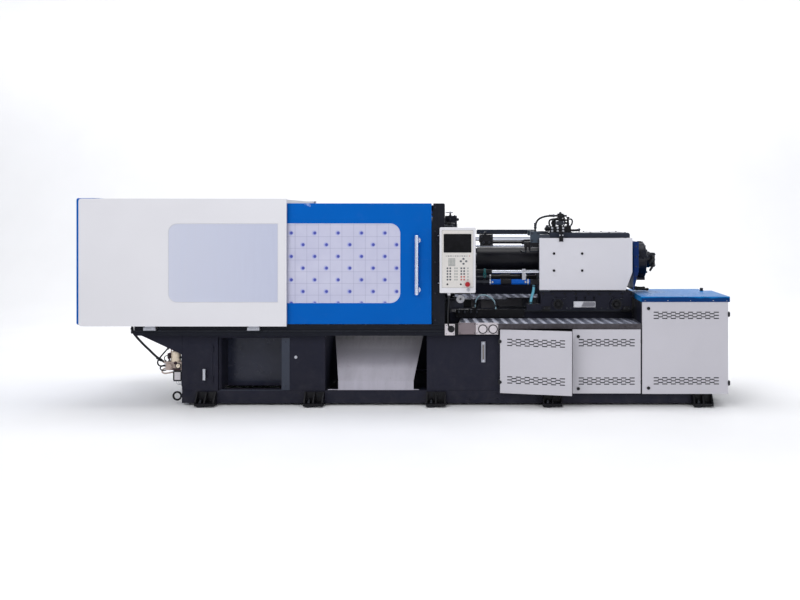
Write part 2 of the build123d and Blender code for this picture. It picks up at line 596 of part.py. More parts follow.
with BuildPart() as hood:
    block(CAB_L - 6, CAB_R + 8, -644, 30, HOOD_LOW + 0.1, HOOD_TOP)
    fillet(hood.faces().sort_by(Axis.Z)[-1].edges().sort_by(Axis.Y)[0], 10)
    offset(amount=-3, openings=hood.faces().sort_by(Axis.Z)[0])
hood.part.label = "hood"
export_step(hood.part, "parts/hood.step")

with BuildPart() as hood_rear:
    block(CAB_L - 6, CAB_R + 8, 30.5, 604, HOOD_LOW + 0.1, HOOD_LOW + 20)
    bar_z(HOOD_TOP, HOOD_TOP + 24, 3050, 10, 16)


def louvres(x0, n, z_mid, front, pitch=82):
    # five staggered rows of short slots
    for row in range(5):
        z = z_mid + (2 - row) * 15
        shift = 0 if row % 2 == 0 else pitch / 2
        count = n if row % 2 == 0 else n - 1
        for i in range(count):
            x = x0 + shift + i * pitch
            block(x, x + 50, front - 2, front + 6, z - 5.2, z + 5.2, mode=Mode.SUBTRACT)


def door_pan(x0, x1, z0, z1):
    block(x0, x1, -CAB_Y, -CAB_Y + 24, z0, z1)
    block(x0 + 2, x1 - 2, -CAB_Y + 2, -CAB_Y + 25, z0 + 2, z1 - 2, mode=Mode.SUBTRACT)


def door_hinges(x, side, zs):
    # round knuckle just outside the door's edge and the leaf that holds it
    for z in zs:
        bar_z(z - 25, z + 25, x, -CAB_Y + 4, 6)
        block(*sorted((x, x - side * 9)), -CAB_Y, -CAB_Y + 6, z - 25, z + 25)


# door 1 is drawn shut, then turned about its hinge to the place where it stands ajar
D1_HINGE = 931.5
with BuildPart() as door_shut:
    door_pan(938.5, 1633, 135, 747)
    louvres(1008, 7, 627, -CAB_Y, 85)
    louvres(1008, 7, 265, -CAB_Y, 85)
    door_hinges(D1_HINGE, -1, (633, 241))
with BuildPart() as cabinet_door_1:
    add(door_shut.part.rotate(Axis((D1_HINGE, -CAB_Y + 4, 0), (0, 0, 1)), -AJAR))
cabinet_door_1.part.label = "cabinet_door_1"
export_step(cabinet_door_1.part, "parts/cabinet_door_1.step")

with BuildPart() as cabinet_door_2:
    door_pan(1639, 2297, 130, 749)
    louvres(1698, 7, 621, -CAB_Y)
    louvres(1698, 7, 250, -CAB_Y)
    door_hinges(2304, 1, (633, 241))
    for z in (681, 177):
        bar_y(-CAB_Y - 1, -CAB_Y + 3, 1694, z, 11.3, mode=Mode.SUBTRACT)
cabinet_door_2.part.label = "cabinet_door_2"
export_step(cabinet_door_2.part, "parts/cabinet_door_2.step")

with BuildPart() as cabinet_door_3:
    door_pan(CAB_L + 2, 3144, 126, HOOD_LOW - 0.4)
    louvres(2423, 8, 886, -CAB_Y, 83)
    louvres(2423, 8, 252, -CAB_Y, 83)
    door_hinges(3151, 1, (896, 231))
    for z in (952, 183):
        bar_y(-CAB_Y - 1, -CAB_Y + 3, 2373, z, 11.3, mode=Mode.SUBTRACT)
cabinet_door_3.part.label = "cabinet_door_3"
export_step(cabinet_door_3.part, "parts/cabinet_door_3.step")

# quarter-turn locks: round head outside, tongue behind the sheet
for name, x, z in (
    ("door_2_lock_upper", 1694, 681), ("door_2_lock_lower", 1694, 177),
    ("door_3_lock_upper", 2373, 952), ("door_3_lock_lower", 2373, 183),
):
    with BuildPart() as door_lock:
        bar_y(-CAB_Y - 5, -CAB_Y - 0.4, x, z, 15)
        bar_y(-CAB_Y - 1, -CAB_Y + 22, x, z, 11)
        block(x - 9, x + 9, -CAB_Y + 16, -CAB_Y + 20, z - 11, z + 24)
        block(x - 2, x + 2, -CAB_Y - 12, -CAB_Y - 4, z - 10, z + 10)
    door_lock.part.label = name
    export_step(door_lock.part, "parts/" + name + ".step")

# ---------------------------------------------------------------- hydraulic power pack
with BuildPart() as oil_tank:
    block(960, 2230, -80, 520, 128, 560)
    fillet(oil_tank.edges().filter_by(Axis.Z), 20)
    bar_z(559, 590, 1300, 100, 60)

with BuildPart() as electric_motor:
    bar_x(1060, 1420, -320, 330, 140)
    for a in range(0, 360, 15):
        with Locations(Location((1235, -320 + 142 * math.sin(math.radians(a)), 330 + 142 * math.cos(math.radians(a))), (-a, 0, 0))):
            Box(280, 5, 22)
    block(1080, 1400, -440, -200, 150, 215)
    block(1180, 1290, -370, -270, 465, 520)
    bar_x(1420, 1455, -320, 330, 19)

with BuildPart() as pump_coupling:
    bar_x(1425, 1505, -320, 330, 48)
    bar_x(1424, 1456, -320, 330, 19.05, mode=Mode.SUBTRACT)
    bar_x(1475, 1506, -320, 330, 19.05, mode=Mode.SUBTRACT)

with BuildPart() as oil_pump:
    bar_x(1475.2, 1515, -320, 330, 19)
    bar_x(1512, 1532, -320, 330, 100)
    bar_x(1530, 1620, -320, 330, 75)
    block(1520, 1600, -400, -240, 150, 300)

# ================================================================ injection unit
with BuildPart() as carriage:
    # base plate, side cheeks and cross webs
    block(1352, 2264, -330, 330, 1040, 1090)
    for s in (-1, 1):
        block(1352, 2264, *sorted((s * 215, s * 330)), 905, 1039.8)
        for x in (1524, 2106):
            bar_y(*sorted((s * 330, s * 358)), x, 964, 62)
            bar_y(*sorted((s * 350, s * 364)), x, 964, 34)
    for y in (-150, 150):
        block(1360, 2256, y - 40, y + 40, 889.6, 1039.8)
    block(1680, 1900, -336, -330.2, 930, 990)
    # small valve block at the front end
    block(1210, 1351.8, -330, -230, 905, 960)
carriage.part.label = "carriage"
export_step(carriage.part, "parts/carriage.step")

FRONT_L, FRONT_R = 1340.0, 1440.0
with BuildPart() as front_plate:
    block(FRONT_L, FRONT_R, -345, 345, 1090.2, 1660)
    bar_x(FRONT_L - 1, FRONT_R + 1, 0, AXIS, BARREL_R, mode=Mode.SUBTRACT)
    block(FRONT_L, FRONT_R, -95, 95, 1655, 1690)
    bar_z(AXIS, 1700, 1390, 0, 40, mode=Mode.SUBTRACT)
    for x in (1355, 1425):
        for y in (-75, 75):
            bar_z(1640, 1700, x, y, 7, mode=Mode.SUBTRACT)
    for s in (-1, 1):
        bar_x(FRONT_L - 1, FRONT_R + 1, s * ROD_Y, 1623, 26.4, mode=Mode.SUBTRACT)
        bar_x(FRONT_L - 1, FRONT_R + 1, s * ROD_Y, 1285, 17.9, mode=Mode.SUBTRACT)
    bar_x(FRONT_L - 1, FRONT_R + 1, -150, 1542, 12.9, mode=Mode.SUBTRACT)

with BuildPart() as barrel:
    bar_x(680, 2000, 0, AXIS, BARREL_R)
    bar_x(679, 2001, 0, AXIS, 25, mode=Mode.SUBTRACT)
    bar_z(AXIS, AXIS + 80, 1390, 0, 30, mode=Mode.SUBTRACT)

with BuildPart() as nozzle:
    with BuildSketch(Plane.XZ) as profile:
        with BuildLine():
            Polyline(
                (600, AXIS + 2), (600, AXIS + 14), (612, AXIS + 24), (640, AXIS + 28), (640, AXIS + 46),
                (679.8, AXIS + 46), (679.8, AXIS + 20), (660, AXIS + 2), close=True,
            )
        make_face()
    revolve(profile.sketch, Axis((0, 0, AXIS), (1, 0, 0)))
nozzle.part.label = "nozzle"
export_step(nozzle.part, "parts/nozzle.step")

# round shroud over the heater bands, with a flat strip along its top
with BuildPart() as barrel_cover:
    bar_x(705, FRONT_L - 2, 0, AXIS, 120)
    bar_x(704, FRONT_L - 1, 0, AXIS, 117, mode=Mode.SUBTRACT)
barrel_cover.part.label = "barrel_cover"
export_step(barrel_cover.part, "parts/barrel_cover.step")

with BuildPart() as heater_bands:
    for i in range(8):
        x = 720 + i * 76
        bar_x(x, x + 60, 0, AXIS, 72)
        bar_x(x - 1, x + 61, 0, AXIS, BARREL_R + 0.02, mode=Mode.SUBTRACT)

# screw: root and flight in the barrel, plain shank to the thrust block
with BuildPart() as screw:
    with BuildSketch(Plane.XZ) as profile:
        with BuildLine():
            Polyline((700, AXIS), (730, AXIS + 16), (740, AXIS + 16), (740, AXIS + 18), (1500, AXIS + 18), (1500, AXIS + SCREW_R - 0.1), (2150, AXIS + SCREW_R - 0.1), (2150, AXIS), close=True)
        make_face()
    revolve(profile.sketch, Axis((0, 0, AXIS), (1, 0, 0)))
    for x in range(760, 1480, 48):
        bar_x(x, x + 7, 0, AXIS, SCREW_R)

# injection cylinders on the front plate, with their rods on the thrust block
with BuildPart() as injection_cylinders:
    for s in (-1, 1):
        bar_x(FRONT_R + 0.1, 1820, s * CYL_Y, 1290, 70)
        bar_x(FRONT_R + 20, 1821, s * CYL_Y, 1290, 32.3, mode=Mode.SUBTRACT)

with BuildPart() as thrust_block:
    block(2080, 2200, -320, 320, 1120, 1590)
    bar_x(2079, 2151, 0, AXIS, 31, mode=Mode.SUBTRACT)
    bar_x(2150, 2201, 0, AXIS, 40, mode=Mode.SUBTRACT)
    block(2200, 2279, -120, 120, AXIS - 120, AXIS + 120)
    bar_x(2199, 2280, 0, AXIS, 40, mode=Mode.SUBTRACT)

with BuildPart() as injection_rods:
    for s in (-1, 1):
        bar_x(1560, 2079.8, s * CYL_Y, 1290, 32)

# guide bars from the front plate to a rear bearing, above the cylinders
with BuildPart() as rear_housing:
    with BuildSketch(Plane.XZ.offset(330)) as outline:
        with BuildLine():
            Polyline((2284, 1180), (2284, 1589), (2334, 1589), (2334, 1290), (2284, 1098), close=True)
        make_face()
    extrude(to_extrude=outline.sketch, amount=-660)
    block(2280, 2334.5, -60, 60, AXIS - 60, AXIS + 60, mode=Mode.SUBTRACT)
rear_housing.part.label = "rear_housing"
export_step(rear_housing.part, "parts/rear_housing.step")

# hydraulic motor that turns the screw
with BuildPart() as screw_motor:
    bar_x(2335, 2350, 0, AXIS, 150)
    bar_x(2350, 2446, 0, AXIS - 18, 190)
    fillet(screw_motor.edges().filter_by(GeomType.CIRCLE).sort_by(Axis.X)[-1], 22)
    bar_x(2446, 2500, 0, AXIS - 10, 84)
    block(2500, 2548, -66, 66, AXIS - 84, AXIS + 62)
    bar_x(2300, 2336, 0, AXIS, 30)
    block(2360, 2440, -90, 90, 1186, 1215)
    for a in range(5):
        t = math.radians(72 * a + 18)
        bar_x(2445, 2456, 145 * math.cos(t), AXIS - 18 + 145 * math.sin(t), 14)
screw_motor.part.label = "screw_motor"
export_step(screw_motor.part, "parts/screw_motor.step")

# drive shaft from the motor to the screw: turns with it
with BuildPart() as screw_coupling:
    bar_x(2150.2, 2290, 0, AXIS, 30)
    bar_x(2160, 2190, 0, AXIS, 39)

# side covers, sheet with folded edges; the lower rear corner is cut
with BuildPart() as injection_covers:
    for s in (-1, 1):
        for g, y_a, y_b, how in ((0, 380, 352, Mode.ADD), (3, 377, 351, Mode.SUBTRACT)):
            with BuildSketch(Plane.XZ.offset(-s * y_a)) as outline:
                with BuildLine():
                    Polyline(
                        (1334 + g, 1108 + g), (2196 - g * 0.8, 1108 + g), (2262 - g, 1287),
                        (2262 - g, 1626 - g), (1334 + g, 1626 - g), close=True,
                    )
                make_face()
            extrude(to_extrude=outline.sketch, amount=s * (y_a - y_b), mode=how)
        for x in (1479, 1760):
            for z in (1302, 1472):
                bar_y(*sorted((s * 383, s * 376.9)), x, z, 8)
injection_covers.part.label = "injection_covers"
export_step(injection_covers.part, "parts/injection_covers.step")

with BuildPart() as top_plate:
    block(1442, 2245, -330, 330, 1627, 1678)
    chamfer(top_plate.faces().sort_by(Axis.X)[-1].edges().filter_by(Axis.Y).sort_by(Axis.Z)[-1], 14)
    block(1441, 2242, -327, 327, 1626, 1675, mode=Mode.SUBTRACT)
    for x in (1442.2, 2215):
        block(x, x + 12, -250, 250, 1621, 1640)
top_plate.part.label = "top_plate"
export_step(top_plate.part, "parts/top_plate.step")

# ---------------------------------------------------------------- rods on the fixed platen
with BuildPart() as long_rods:
    for s in (-1, 1):
        bar_x(FIX_R + 0.1, 1480, s * ROD_Y, 1623, 26)
        bar_x(FIX_R + 0.1, 1480, s * ROD_Y, 1285, 17.5)
        bar_x(FIX_R + 0.1, 870, s * ROD_Y, 1184, 15)
    bar_x(FIX_R + 0.1, 1400, -150, 1542, 12.5)

# split clamps on the upper rods
with BuildPart() as rod_clamps:
    for s in (-1, 1):
        block(739, 870, *sorted((s * 256, s * 340)), 1545, 1660)
        bar_x(738, 871, s * ROD_Y, 1623, 26.2, mode=Mode.SUBTRACT)
        bar_x(FIX_R + 0.1, 860, s * ROD_Y, 1285, 24)
        bar_x(FIX_R - 1, 861, s * ROD_Y, 1285, 17.7, mode=Mode.SUBTRACT)

with BuildPart() as guide_rods:
    for piece in (long_rods, rod_clamps):
        add(piece.part)
guide_rods.part.label = "guide_rods"
export_step(guide_rods.part, "parts/guide_rods.step")

# cylinders that press the nozzle on, the blocks they are bolted to, and the hose tray
with BuildPart() as carriage_cylinders:
    for s in (-1, 1):
        bar_x(834, 1242, s * ROD_Y, 1184, 27.5)
        bar_x(947, 1056, s * ROD_Y, 1184, 31)
        block(1163, 1199, *sorted((s * 272, s * 326)), 1205, 1312)
        bar_x(833, 1236, s * ROD_Y, 1184, 15.4, mode=Mode.SUBTRACT)
        bar_x(1160, 1200, s * ROD_Y, 1285, 17.9, mode=Mode.SUBTRACT)
        block(1242.2, FRONT_L - 0.2, *sorted((s * 270, s * 332)), 1160, 1208)
        block(1245, FRONT_L - 0.2, *sorted((s * 250, s * 345)), 1580, 1692)
        bar_x(1240, FRONT_L, s * ROD_Y, 1623, 26.4, mode=Mode.SUBTRACT)
    block(740, FRONT_L - 0.2, -249.8, -232, 1567, 1593)
    # hose rail along the far side
    block(692, FRONT_L - 0.2, 376, 388, 1650, 1694)
    block(1250, FRONT_L - 0.2, 345.2, 377, 1650, 1690)
carriage_cylinders.part.label = "carriage_cylinders"
export_step(carriage_cylinders.part, "parts/carriage_cylinders.step")

# valve block with risers on the top plate, and the bracket that hangs over the side cover
with BuildPart() as hose_manifold:
    block(1452, 1610, -200, -100, 1678.2, 1742)
    bar_z(1742, 1826, 1560, -150, 20)
    block(1530.2, 1592, -180, -120, 1825, 1872)
    bar_z(1742, 1790, 1500, -140, 16)
    bar_z(1742, 1800, 1480, -172, 9)
    bar_x(1570, 1640, -150, 1805, 9)
    bar_z(1745, 1824, 1640, -150, 11)
    block(1612, 1668, -190, -110, 1678.2, 1746)
    block(1668, 1738, -168, -132, 1690, 1712)
    block(1522, 1578, -394, -200, 1680, 1689)
    block(1530, 1570, -394, -386, 1592, 1685)
hose_manifold.part.label = "hose_manifold"
export_step(hose_manifold.part, "parts/hose_manifold.step")

# ---------------------------------------------------------------- lubrication unit on the bed's end
with BuildPart() as lubrication_unit:
    block(-2175, BED_LEFT - 0.2, -555, -420, 180, 540)
    block(-2330, -2175.2, -555, -460, 340, 420)
    bar_z(420.2, 520, -2245, -508, 46)
    bar_z(520.2, 536, -2245, -508, 30)
    block(-2262, -2175.2, -536, -480, 333.2, 339.8)
    block(-2262, -2175.2, -545, -452, 229, 333)
    block(-2252, -2186, -549, -545.2, 239, 323)
    block(-2350, -2330.2, -522, -494, 382, 412)
    with BuildSketch(Plane(origin=(-2363.8, -508, 413.9), z_dir=(0.866, 0, -0.5))) as inlet:
        Circle(12)
    extrude(to_extrude=inlet.sketch, amount=26)
lubrication_unit.part.label = "lubrication_unit"
export_step(lubrication_unit.part, "parts/lubrication_unit.step")

# ---------------------------------------------------------------- hoses and cable
# routes: straight runs joined by tangent arcs
ROUTES = {
    "panel_cable": (8.0, [
        (448, -752, 1089.8), (448, -752, 1030), (442, -760, 960), (438, -769, 890), (440, -768, 828),
        (450, -740, 777), (466, -699, 757), (466, -652.2, 757),
    ]),
    "manifold_hose": (10.0, [
        (1296, -298, 1692.2), (1296, -298, 1760), (1326, -266, 1816), (1392, -205, 1842),
        (1460, -150, 1850), (1530, -150, 1850),
    ]),
    "water_hose": (14.0, [
        (1281, -318, 1159.8), (1281, -318, 1112), (1268, -320, 1060), (1250, -316, 1008), (1250, -316, 960.2),
    ]),
    "cooling_hose": (7.0, [
        (688, -222, 920.2), (688, -222, 972), (716, -224, 1028), (772, -225, 1052), (850, -224, 1020),
        (898, -222, 965), (898, -222, 899.2),
    ]),
    "lube_hose": (11.0, [
        (-2650, -571, 787), (-2650, -571, 722), (-2612, -565, 668), (-2556, -552, 598),
        (-2490, -535, 527), (-2429, -508, 451.6), (-2364, -508, 414),
    ]),
}


def corner_radii(points):
    radii = []
    for a, b, c in zip(points, points[1:], points[2:]):
        u, v = Vector(*b) - Vector(*a), Vector(*c) - Vector(*b)
        half = math.radians(u.get_angle(v)) / 2
        radii.append(0.45 * min(u.length, v.length) / math.tan(half))
    return radii


def hose(name):
    r, points = ROUTES[name]
    radii = corner_radii(points)
    path = FilletPolyline(*points, radius=radii, mode=Mode.PRIVATE)
    first = Vector(*points[1]) - Vector(*points[0])
    with BuildPart() as tube:
        with BuildSketch(Plane(origin=points[0], z_dir=first)) as section:
            Circle(r)
        sweep(sections=section.sketch, path=path)
    length = path.length
    print(name, "length %.1f" % length, "volume ratio %.4f" % (tube.part.volume / (math.pi * r * r * length)),
          "radii", [round(x) for x in radii], "diameter", 2 * r)
    return tube


for name in ROUTES:
    tube = hose(name)
    tube.part.label = name
    export_step(tube.part, "parts/" + name + ".step")

# ---------------------------------------------------------------- small fittings on the frame
with BuildPart() as safety_valve:
    block(FIX_R + 0.2, 506, -345, -265, 1778, 1850)
    block(488, 506, -345, -265, 1738, 1779)
    bar_z(1850, 1877, 440, -305, 9)
    block(394, 468, -312, -298, 1877, 1887)

with BuildPart() as water_manifold:
    block(493, 1190, -240, -201, 817, 899)
    block(660, 710, -240, -204, 899.2, 920)


# ---------------------------------------------------------------- nodes made of several solids
with BuildPart() as clamp_bed_whole:
    for piece in (clamp_bed, platen_rails, bed_inset_panel, lifting_ring):
        add(piece.part)
clamp_bed_whole.part.label = "clamp_bed"
export_step(clamp_bed_whole.part, "parts/clamp_bed.step")

with BuildPart() as injection_bed_whole:
    for piece in (injection_bed, carriage_rails, oil_tank, water_manifold):
        add(piece.part)
injection_bed_whole.part.label = "injection_bed"
export_step(injection_bed_whole.part, "parts/injection_bed.step")

with BuildPart() as feet:
    for piece in (foot_brackets, levelling_pads):
        add(piece.part)
feet.part.label = "feet"
export_step(feet.part, "parts/feet.step")

with BuildPart() as service_door_whole:
    for piece in (service_door, service_handle):
        add(piece.part)
service_door_whole.part.label = "service_door"
export_step(service_door_whole.part, "parts/service_door.step")

with BuildPart() as tie_bars_whole:
    for piece in (tie_bars, tie_bar_nuts):
        add(piece.part)
tie_bars_whole.part.label = "tie_bars"
export_step(tie_bars_whole.part, "parts/tie_bars.step")

with BuildPart() as clamp_cylinder_whole:
    for piece in (clamp_cylinder, ram_gland, prefill_valve):
        add(piece.part)
clamp_cylinder_whole.part.label = "clamp_cylinder"
export_step(clamp_cylinder_whole.part, "parts/clamp_cylinder.step")

with BuildPart() as moving_platen_whole:
    for piece in (moving_platen, platen_bushes, platen_shoes, ejector_cylinders):
        add(piece.part)
moving_platen_whole.part.label = "moving_platen"
export_step(moving_platen_whole.part, "parts/moving_platen.step")

with BuildPart() as ejector:
    for piece in (ejector_bar, ejector_rods):
        add(piece.part)
ejector.part.label = "ejector"
export_step(ejector.part, "parts/ejector.step")

with BuildPart() as guard_frame_whole:
    for piece in (guard_frame, guard_columns, panel_bracket):
        add(piece.part)
guard_frame_whole.part.label = "guard_frame"
export_step(guard_frame_whole.part, "parts/guard_frame.step")

with BuildPart() as clamp_covers:
    for piece in (roof_cover, rear_clamp_cover):
        add(piece.part)
clamp_covers.part.label = "clamp_covers"
export_step(clamp_covers.part, "parts/clamp_covers.step")

with BuildPart() as panel_face:
    for piece in (panel_keypad, panel_screen):
        add(piece.part)
panel_face.part.label = "panel_face"
export_step(panel_face.part, "parts/panel_face.step")

with BuildPart() as service_fittings:
    for piece in (grommet_plate, service_plate, oil_gauge, safety_valve):
        add(piece.part)
service_fittings.part.label = "service_fittings"
export_step(service_fittings.part, "parts/service_fittings.step")

with BuildPart() as step_plates:
    for piece in (front_step, rear_step):
        add(piece.part)
step_plates.part.label = "step_plates"
export_step(step_plates.part, "parts/step_plates.step")

with BuildPart() as cabinet_sheets:
    for piece in (cabinet_panels, electrical_cabinet, hood_rear, rear_guard):
        add(piece.part)
cabinet_sheets.part.label = "cabinet_panels"
export_step(cabinet_sheets.part, "parts/cabinet_panels.step")

with BuildPart() as motor_and_pump:
    for piece in (electric_motor, pump_coupling, oil_pump):
        add(piece.part)
motor_and_pump.part.label = "motor_and_pump"
export_step(motor_and_pump.part, "parts/motor_and_pump.step")

with BuildPart() as front_plate_whole:
    for piece in (front_plate, injection_cylinders):
        add(piece.part)
front_plate_whole.part.label = "front_plate"
export_step(front_plate_whole.part, "parts/front_plate.step")

with BuildPart() as barrel_whole:
    for piece in (barrel, heater_bands):
        add(piece.part)
barrel_whole.part.label = "barrel"
export_step(barrel_whole.part, "parts/barrel.step")

with BuildPart() as thrust_block_whole:
    for piece in (thrust_block, injection_rods):
        add(piece.part)
thrust_block_whole.part.label = "thrust_block"
export_step(thrust_block_whole.part, "parts/thrust_block.step")

with BuildPart() as screw_whole:
    for piece in (screw, screw_coupling):
        add(piece.part)
screw_whole.part.label = "screw"
export_step(screw_whole.part, "parts/screw.step")
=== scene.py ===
import bmesh
import bpy
import json
import math
import random
from mathutils import Matrix, Vector

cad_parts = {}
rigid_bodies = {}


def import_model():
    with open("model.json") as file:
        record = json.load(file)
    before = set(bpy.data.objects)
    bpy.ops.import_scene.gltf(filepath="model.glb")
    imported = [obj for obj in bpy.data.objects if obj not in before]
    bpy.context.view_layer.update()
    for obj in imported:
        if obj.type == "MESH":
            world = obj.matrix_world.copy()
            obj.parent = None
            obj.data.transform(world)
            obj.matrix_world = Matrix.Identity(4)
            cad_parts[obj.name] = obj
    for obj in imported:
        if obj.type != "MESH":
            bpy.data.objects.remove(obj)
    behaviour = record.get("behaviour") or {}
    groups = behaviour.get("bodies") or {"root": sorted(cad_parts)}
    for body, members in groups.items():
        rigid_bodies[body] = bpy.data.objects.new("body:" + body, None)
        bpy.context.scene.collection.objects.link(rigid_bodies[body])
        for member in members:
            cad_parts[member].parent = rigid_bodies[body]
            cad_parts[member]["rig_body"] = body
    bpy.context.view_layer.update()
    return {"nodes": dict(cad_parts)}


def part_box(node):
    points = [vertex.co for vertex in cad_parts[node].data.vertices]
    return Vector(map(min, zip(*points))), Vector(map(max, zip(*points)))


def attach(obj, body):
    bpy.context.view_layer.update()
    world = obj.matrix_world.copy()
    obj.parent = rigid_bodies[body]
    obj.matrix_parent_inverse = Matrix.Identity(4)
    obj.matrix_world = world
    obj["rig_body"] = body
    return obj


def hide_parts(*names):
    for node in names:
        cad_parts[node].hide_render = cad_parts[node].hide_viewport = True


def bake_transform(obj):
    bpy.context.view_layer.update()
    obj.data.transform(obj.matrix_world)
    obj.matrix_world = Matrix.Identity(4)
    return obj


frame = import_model()
NODES = frame["nodes"]
SC = bpy.context.scene
rnd = random.Random(7)

# ---------------------------------------------------------------- camera
# level camera in front of the operator's side, framed by a small shift
cam_data = bpy.data.cameras.new("camera")
cam_data.sensor_width = 36.0
cam_data.lens = 37.5
cam_data.shift_x = -90 / 800
cam_data.shift_y = -83 / 800
cam_data.clip_end = 200
camera = bpy.data.objects.new("camera", cam_data)
camera.location = (0.840, -8.700, 1.837)
camera.rotation_euler = (math.pi / 2, 0, 0)
SC.collection.objects.link(camera)
SC.camera = camera
SC.view_settings.view_transform = "Standard"


# ---------------------------------------------------------------- shader helpers
def lin(c):
    out = []
    for v in c[:3]:
        v = v / 255
        out.append(v / 12.92 if v <= 0.04045 else ((v + 0.055) / 1.055) ** 2.4)
    return (out[0], out[1], out[2], 1.0)


def shade(c, k):
    return (min(c[0] * k, 1), min(c[1] * k, 1), min(c[2] * k, 1), 1.0)


class Shade:
    def __init__(self, name):
        self.mat = bpy.data.materials.new(name)
        self.mat.use_nodes = True
        self.t = self.mat.node_tree
        self.t.nodes.clear()
        out = self.t.nodes.new("ShaderNodeOutputMaterial")
        self.b = self.t.nodes.new("ShaderNodeBsdfPrincipled")
        self.t.links.new(self.b.outputs[0], out.inputs[0])
        self.obj = self.t.nodes.new("ShaderNodeTexCoord").outputs["Object"]

    def put(self, socket, value):
        s = self.b.inputs[socket]
        if isinstance(value, bpy.types.NodeSocket):
            self.t.links.new(value, s)
        else:
            s.default_value = value

    def feed(self, socket, value):
        if isinstance(value, bpy.types.NodeSocket):
            self.t.links.new(value, socket)
        else:
            socket.default_value = value

    def scaled(self, scale, vec=None, rot=(0, 0, 0)):
        m = self.t.nodes.new("ShaderNodeMapping")
        self.t.links.new(vec or self.obj, m.inputs["Vector"])
        m.inputs["Scale"].default_value = scale
        m.inputs["Rotation"].default_value = rot
        return m.outputs[0]

    def noise(self, scale, detail=3, rough=0.55, vec=None, distort=0.0):
        n = self.t.nodes.new("ShaderNodeTexNoise")
        self.t.links.new(vec or self.obj, n.inputs["Vector"])
        n.inputs["Scale"].default_value = scale
        n.inputs["Detail"].default_value = detail
        n.inputs["Roughness"].default_value = rough
        n.inputs["Distortion"].default_value = distort
        return n.outputs[0]

    def cells(self, scale, vec=None, kind="F1"):
        n = self.t.nodes.new("ShaderNodeTexVoronoi")
        n.feature = kind
        self.t.links.new(vec or self.obj, n.inputs["Vector"])
        n.inputs["Scale"].default_value = scale
        return n.outputs[0]

    def ramp(self, fac, stops):
        r = self.t.nodes.new("ShaderNodeValToRGB")
        self.feed(r.inputs[0], fac)
        e = r.color_ramp.elements
        while len(e) < len(stops):
            e.new(0.5)
        for el, (p, c) in zip(e, stops):
            el.position = p
            el.color = c if len(c) == 4 else (*c, 1)
        return r.outputs[0]

    def span(self, v, a, b, lo=0.0, hi=1.0):
        m = self.t.nodes.new("ShaderNodeMapRange")
        self.feed(m.inputs[0], v)
        for i, x in enumerate((a, b, lo, hi)):
            m.inputs[1 + i].default_value = x
        return m.outputs[0]

    def math(self, op, a, b=0.0, c=0.0):
        m = self.t.nodes.new("ShaderNodeMath")
        m.operation = op
        for s, v in zip(m.inputs, (a, b, c)):
            self.feed(s, v)
        return m.outputs[0]

    def mix(self, fac, a, b, kind="MIX"):
        m = self.t.nodes.new("ShaderNodeMix")
        m.data_type = "RGBA"
        m.blend_type = kind
        self.feed(m.inputs[0], fac)
        self.feed(m.inputs[6], a)
        self.feed(m.inputs[7], b)
        return m.outputs[2]

    def axis(self, i):
        s = self.t.nodes.new("ShaderNodeSeparateXYZ")
        self.t.links.new(self.obj, s.inputs[0])
        return s.outputs[i]

    def bump(self, height, strength, dist=0.001, after=None):
        n = self.t.nodes.new("ShaderNodeBump")
        n.inputs["Strength"].default_value = strength
        n.inputs["Distance"].default_value = dist
        self.t.links.new(height, n.inputs["Height"])
        if after is not None:
            self.t.links.new(after, n.inputs["Normal"])
        return n.outputs[0]


def paint(name, rgb, rough=0.38, coat=0.0, vary=0.05, grain=700.0, grain_amt=0.12, marks=0.12, dust=0.0, wave=0.0, metallic=0.0, spec=0.35):
    """Sprayed enamel or powder coat: broad tone, handling marks, fine orange peel, dust towards the floor."""
    s = Shade(name)
    base = lin(rgb)
    broad = s.noise(1.3, 2, 0.5)
    hand = s.noise(9.0, 5, 0.7, distort=0.6)
    col = s.ramp(broad, [(0.32, shade(base, 1 - vary)), (0.68, shade(base, 1 + vary))])
    pale = tuple(0.6 * base[i] + 0.4 * (0.42, 0.40, 0.38)[i] for i in range(3)) + (1.0,)
    if marks:
        col = s.mix(s.span(hand, 0.56, 0.78, 0.0, marks), col, pale)
        fine = s.noise(3.0, 2, 0.5, s.scaled((1, 1, 26), rot=(0.3, 0.5, 0)))
        col = s.mix(s.span(fine, 0.69, 0.74, 0.0, marks * 0.8), col, pale)
    if dust:
        low = s.span(s.axis(2), 0.0, 0.75, dust, 0.0)
        col = s.mix(s.math("MULTIPLY", low, s.span(hand, 0.35, 0.7)), col, (0.20, 0.18, 0.165, 1))
    s.put("Base Color", col)
    s.put("Metallic", metallic)
    s.put("Roughness", s.span(hand, 0.3, 0.75, max(rough - 0.05, 0.03), rough + 0.10))
    peel = s.bump(s.noise(grain, 2, 0.5), grain_amt, 0.0004)
    if wave:
        peel = s.bump(s.noise(2.1, 1, 0.4), wave, 0.02, peel)
    s.put("Normal", peel)
    s.put("Specular IOR Level", spec)
    s.put("Coat Weight", coat)
    s.put("Coat Roughness", 0.08)
    return s.mat


def metal(name, rgb, rough=0.25, along=(1, 60, 60), amount=0.15, stain=0.15, vary=0.06):
    """Machined or ground metal with fine lines along one direction and faint stains."""
    s = Shade(name)
    base = lin(rgb)
    lines = s.noise(9.0, 3, 0.6, s.scaled(along))
    cloud = s.noise(6.0, 4, 0.6)
    col = s.ramp(lines, [(0.3, shade(base, 1 - vary)), (0.7, shade(base, 1 + vary))])
    col = s.mix(s.span(cloud, 0.52, 0.8, 0.0, stain), col, shade(base, 0.45))
    s.put("Base Color", col)
    s.put("Metallic", 1.0)
    s.put("Roughness", s.span(cloud, 0.3, 0.75, max(rough - 0.05, 0.03), rough + 0.12))
    s.put("Normal", s.bump(lines, amount, 0.0006))
    return s.mat


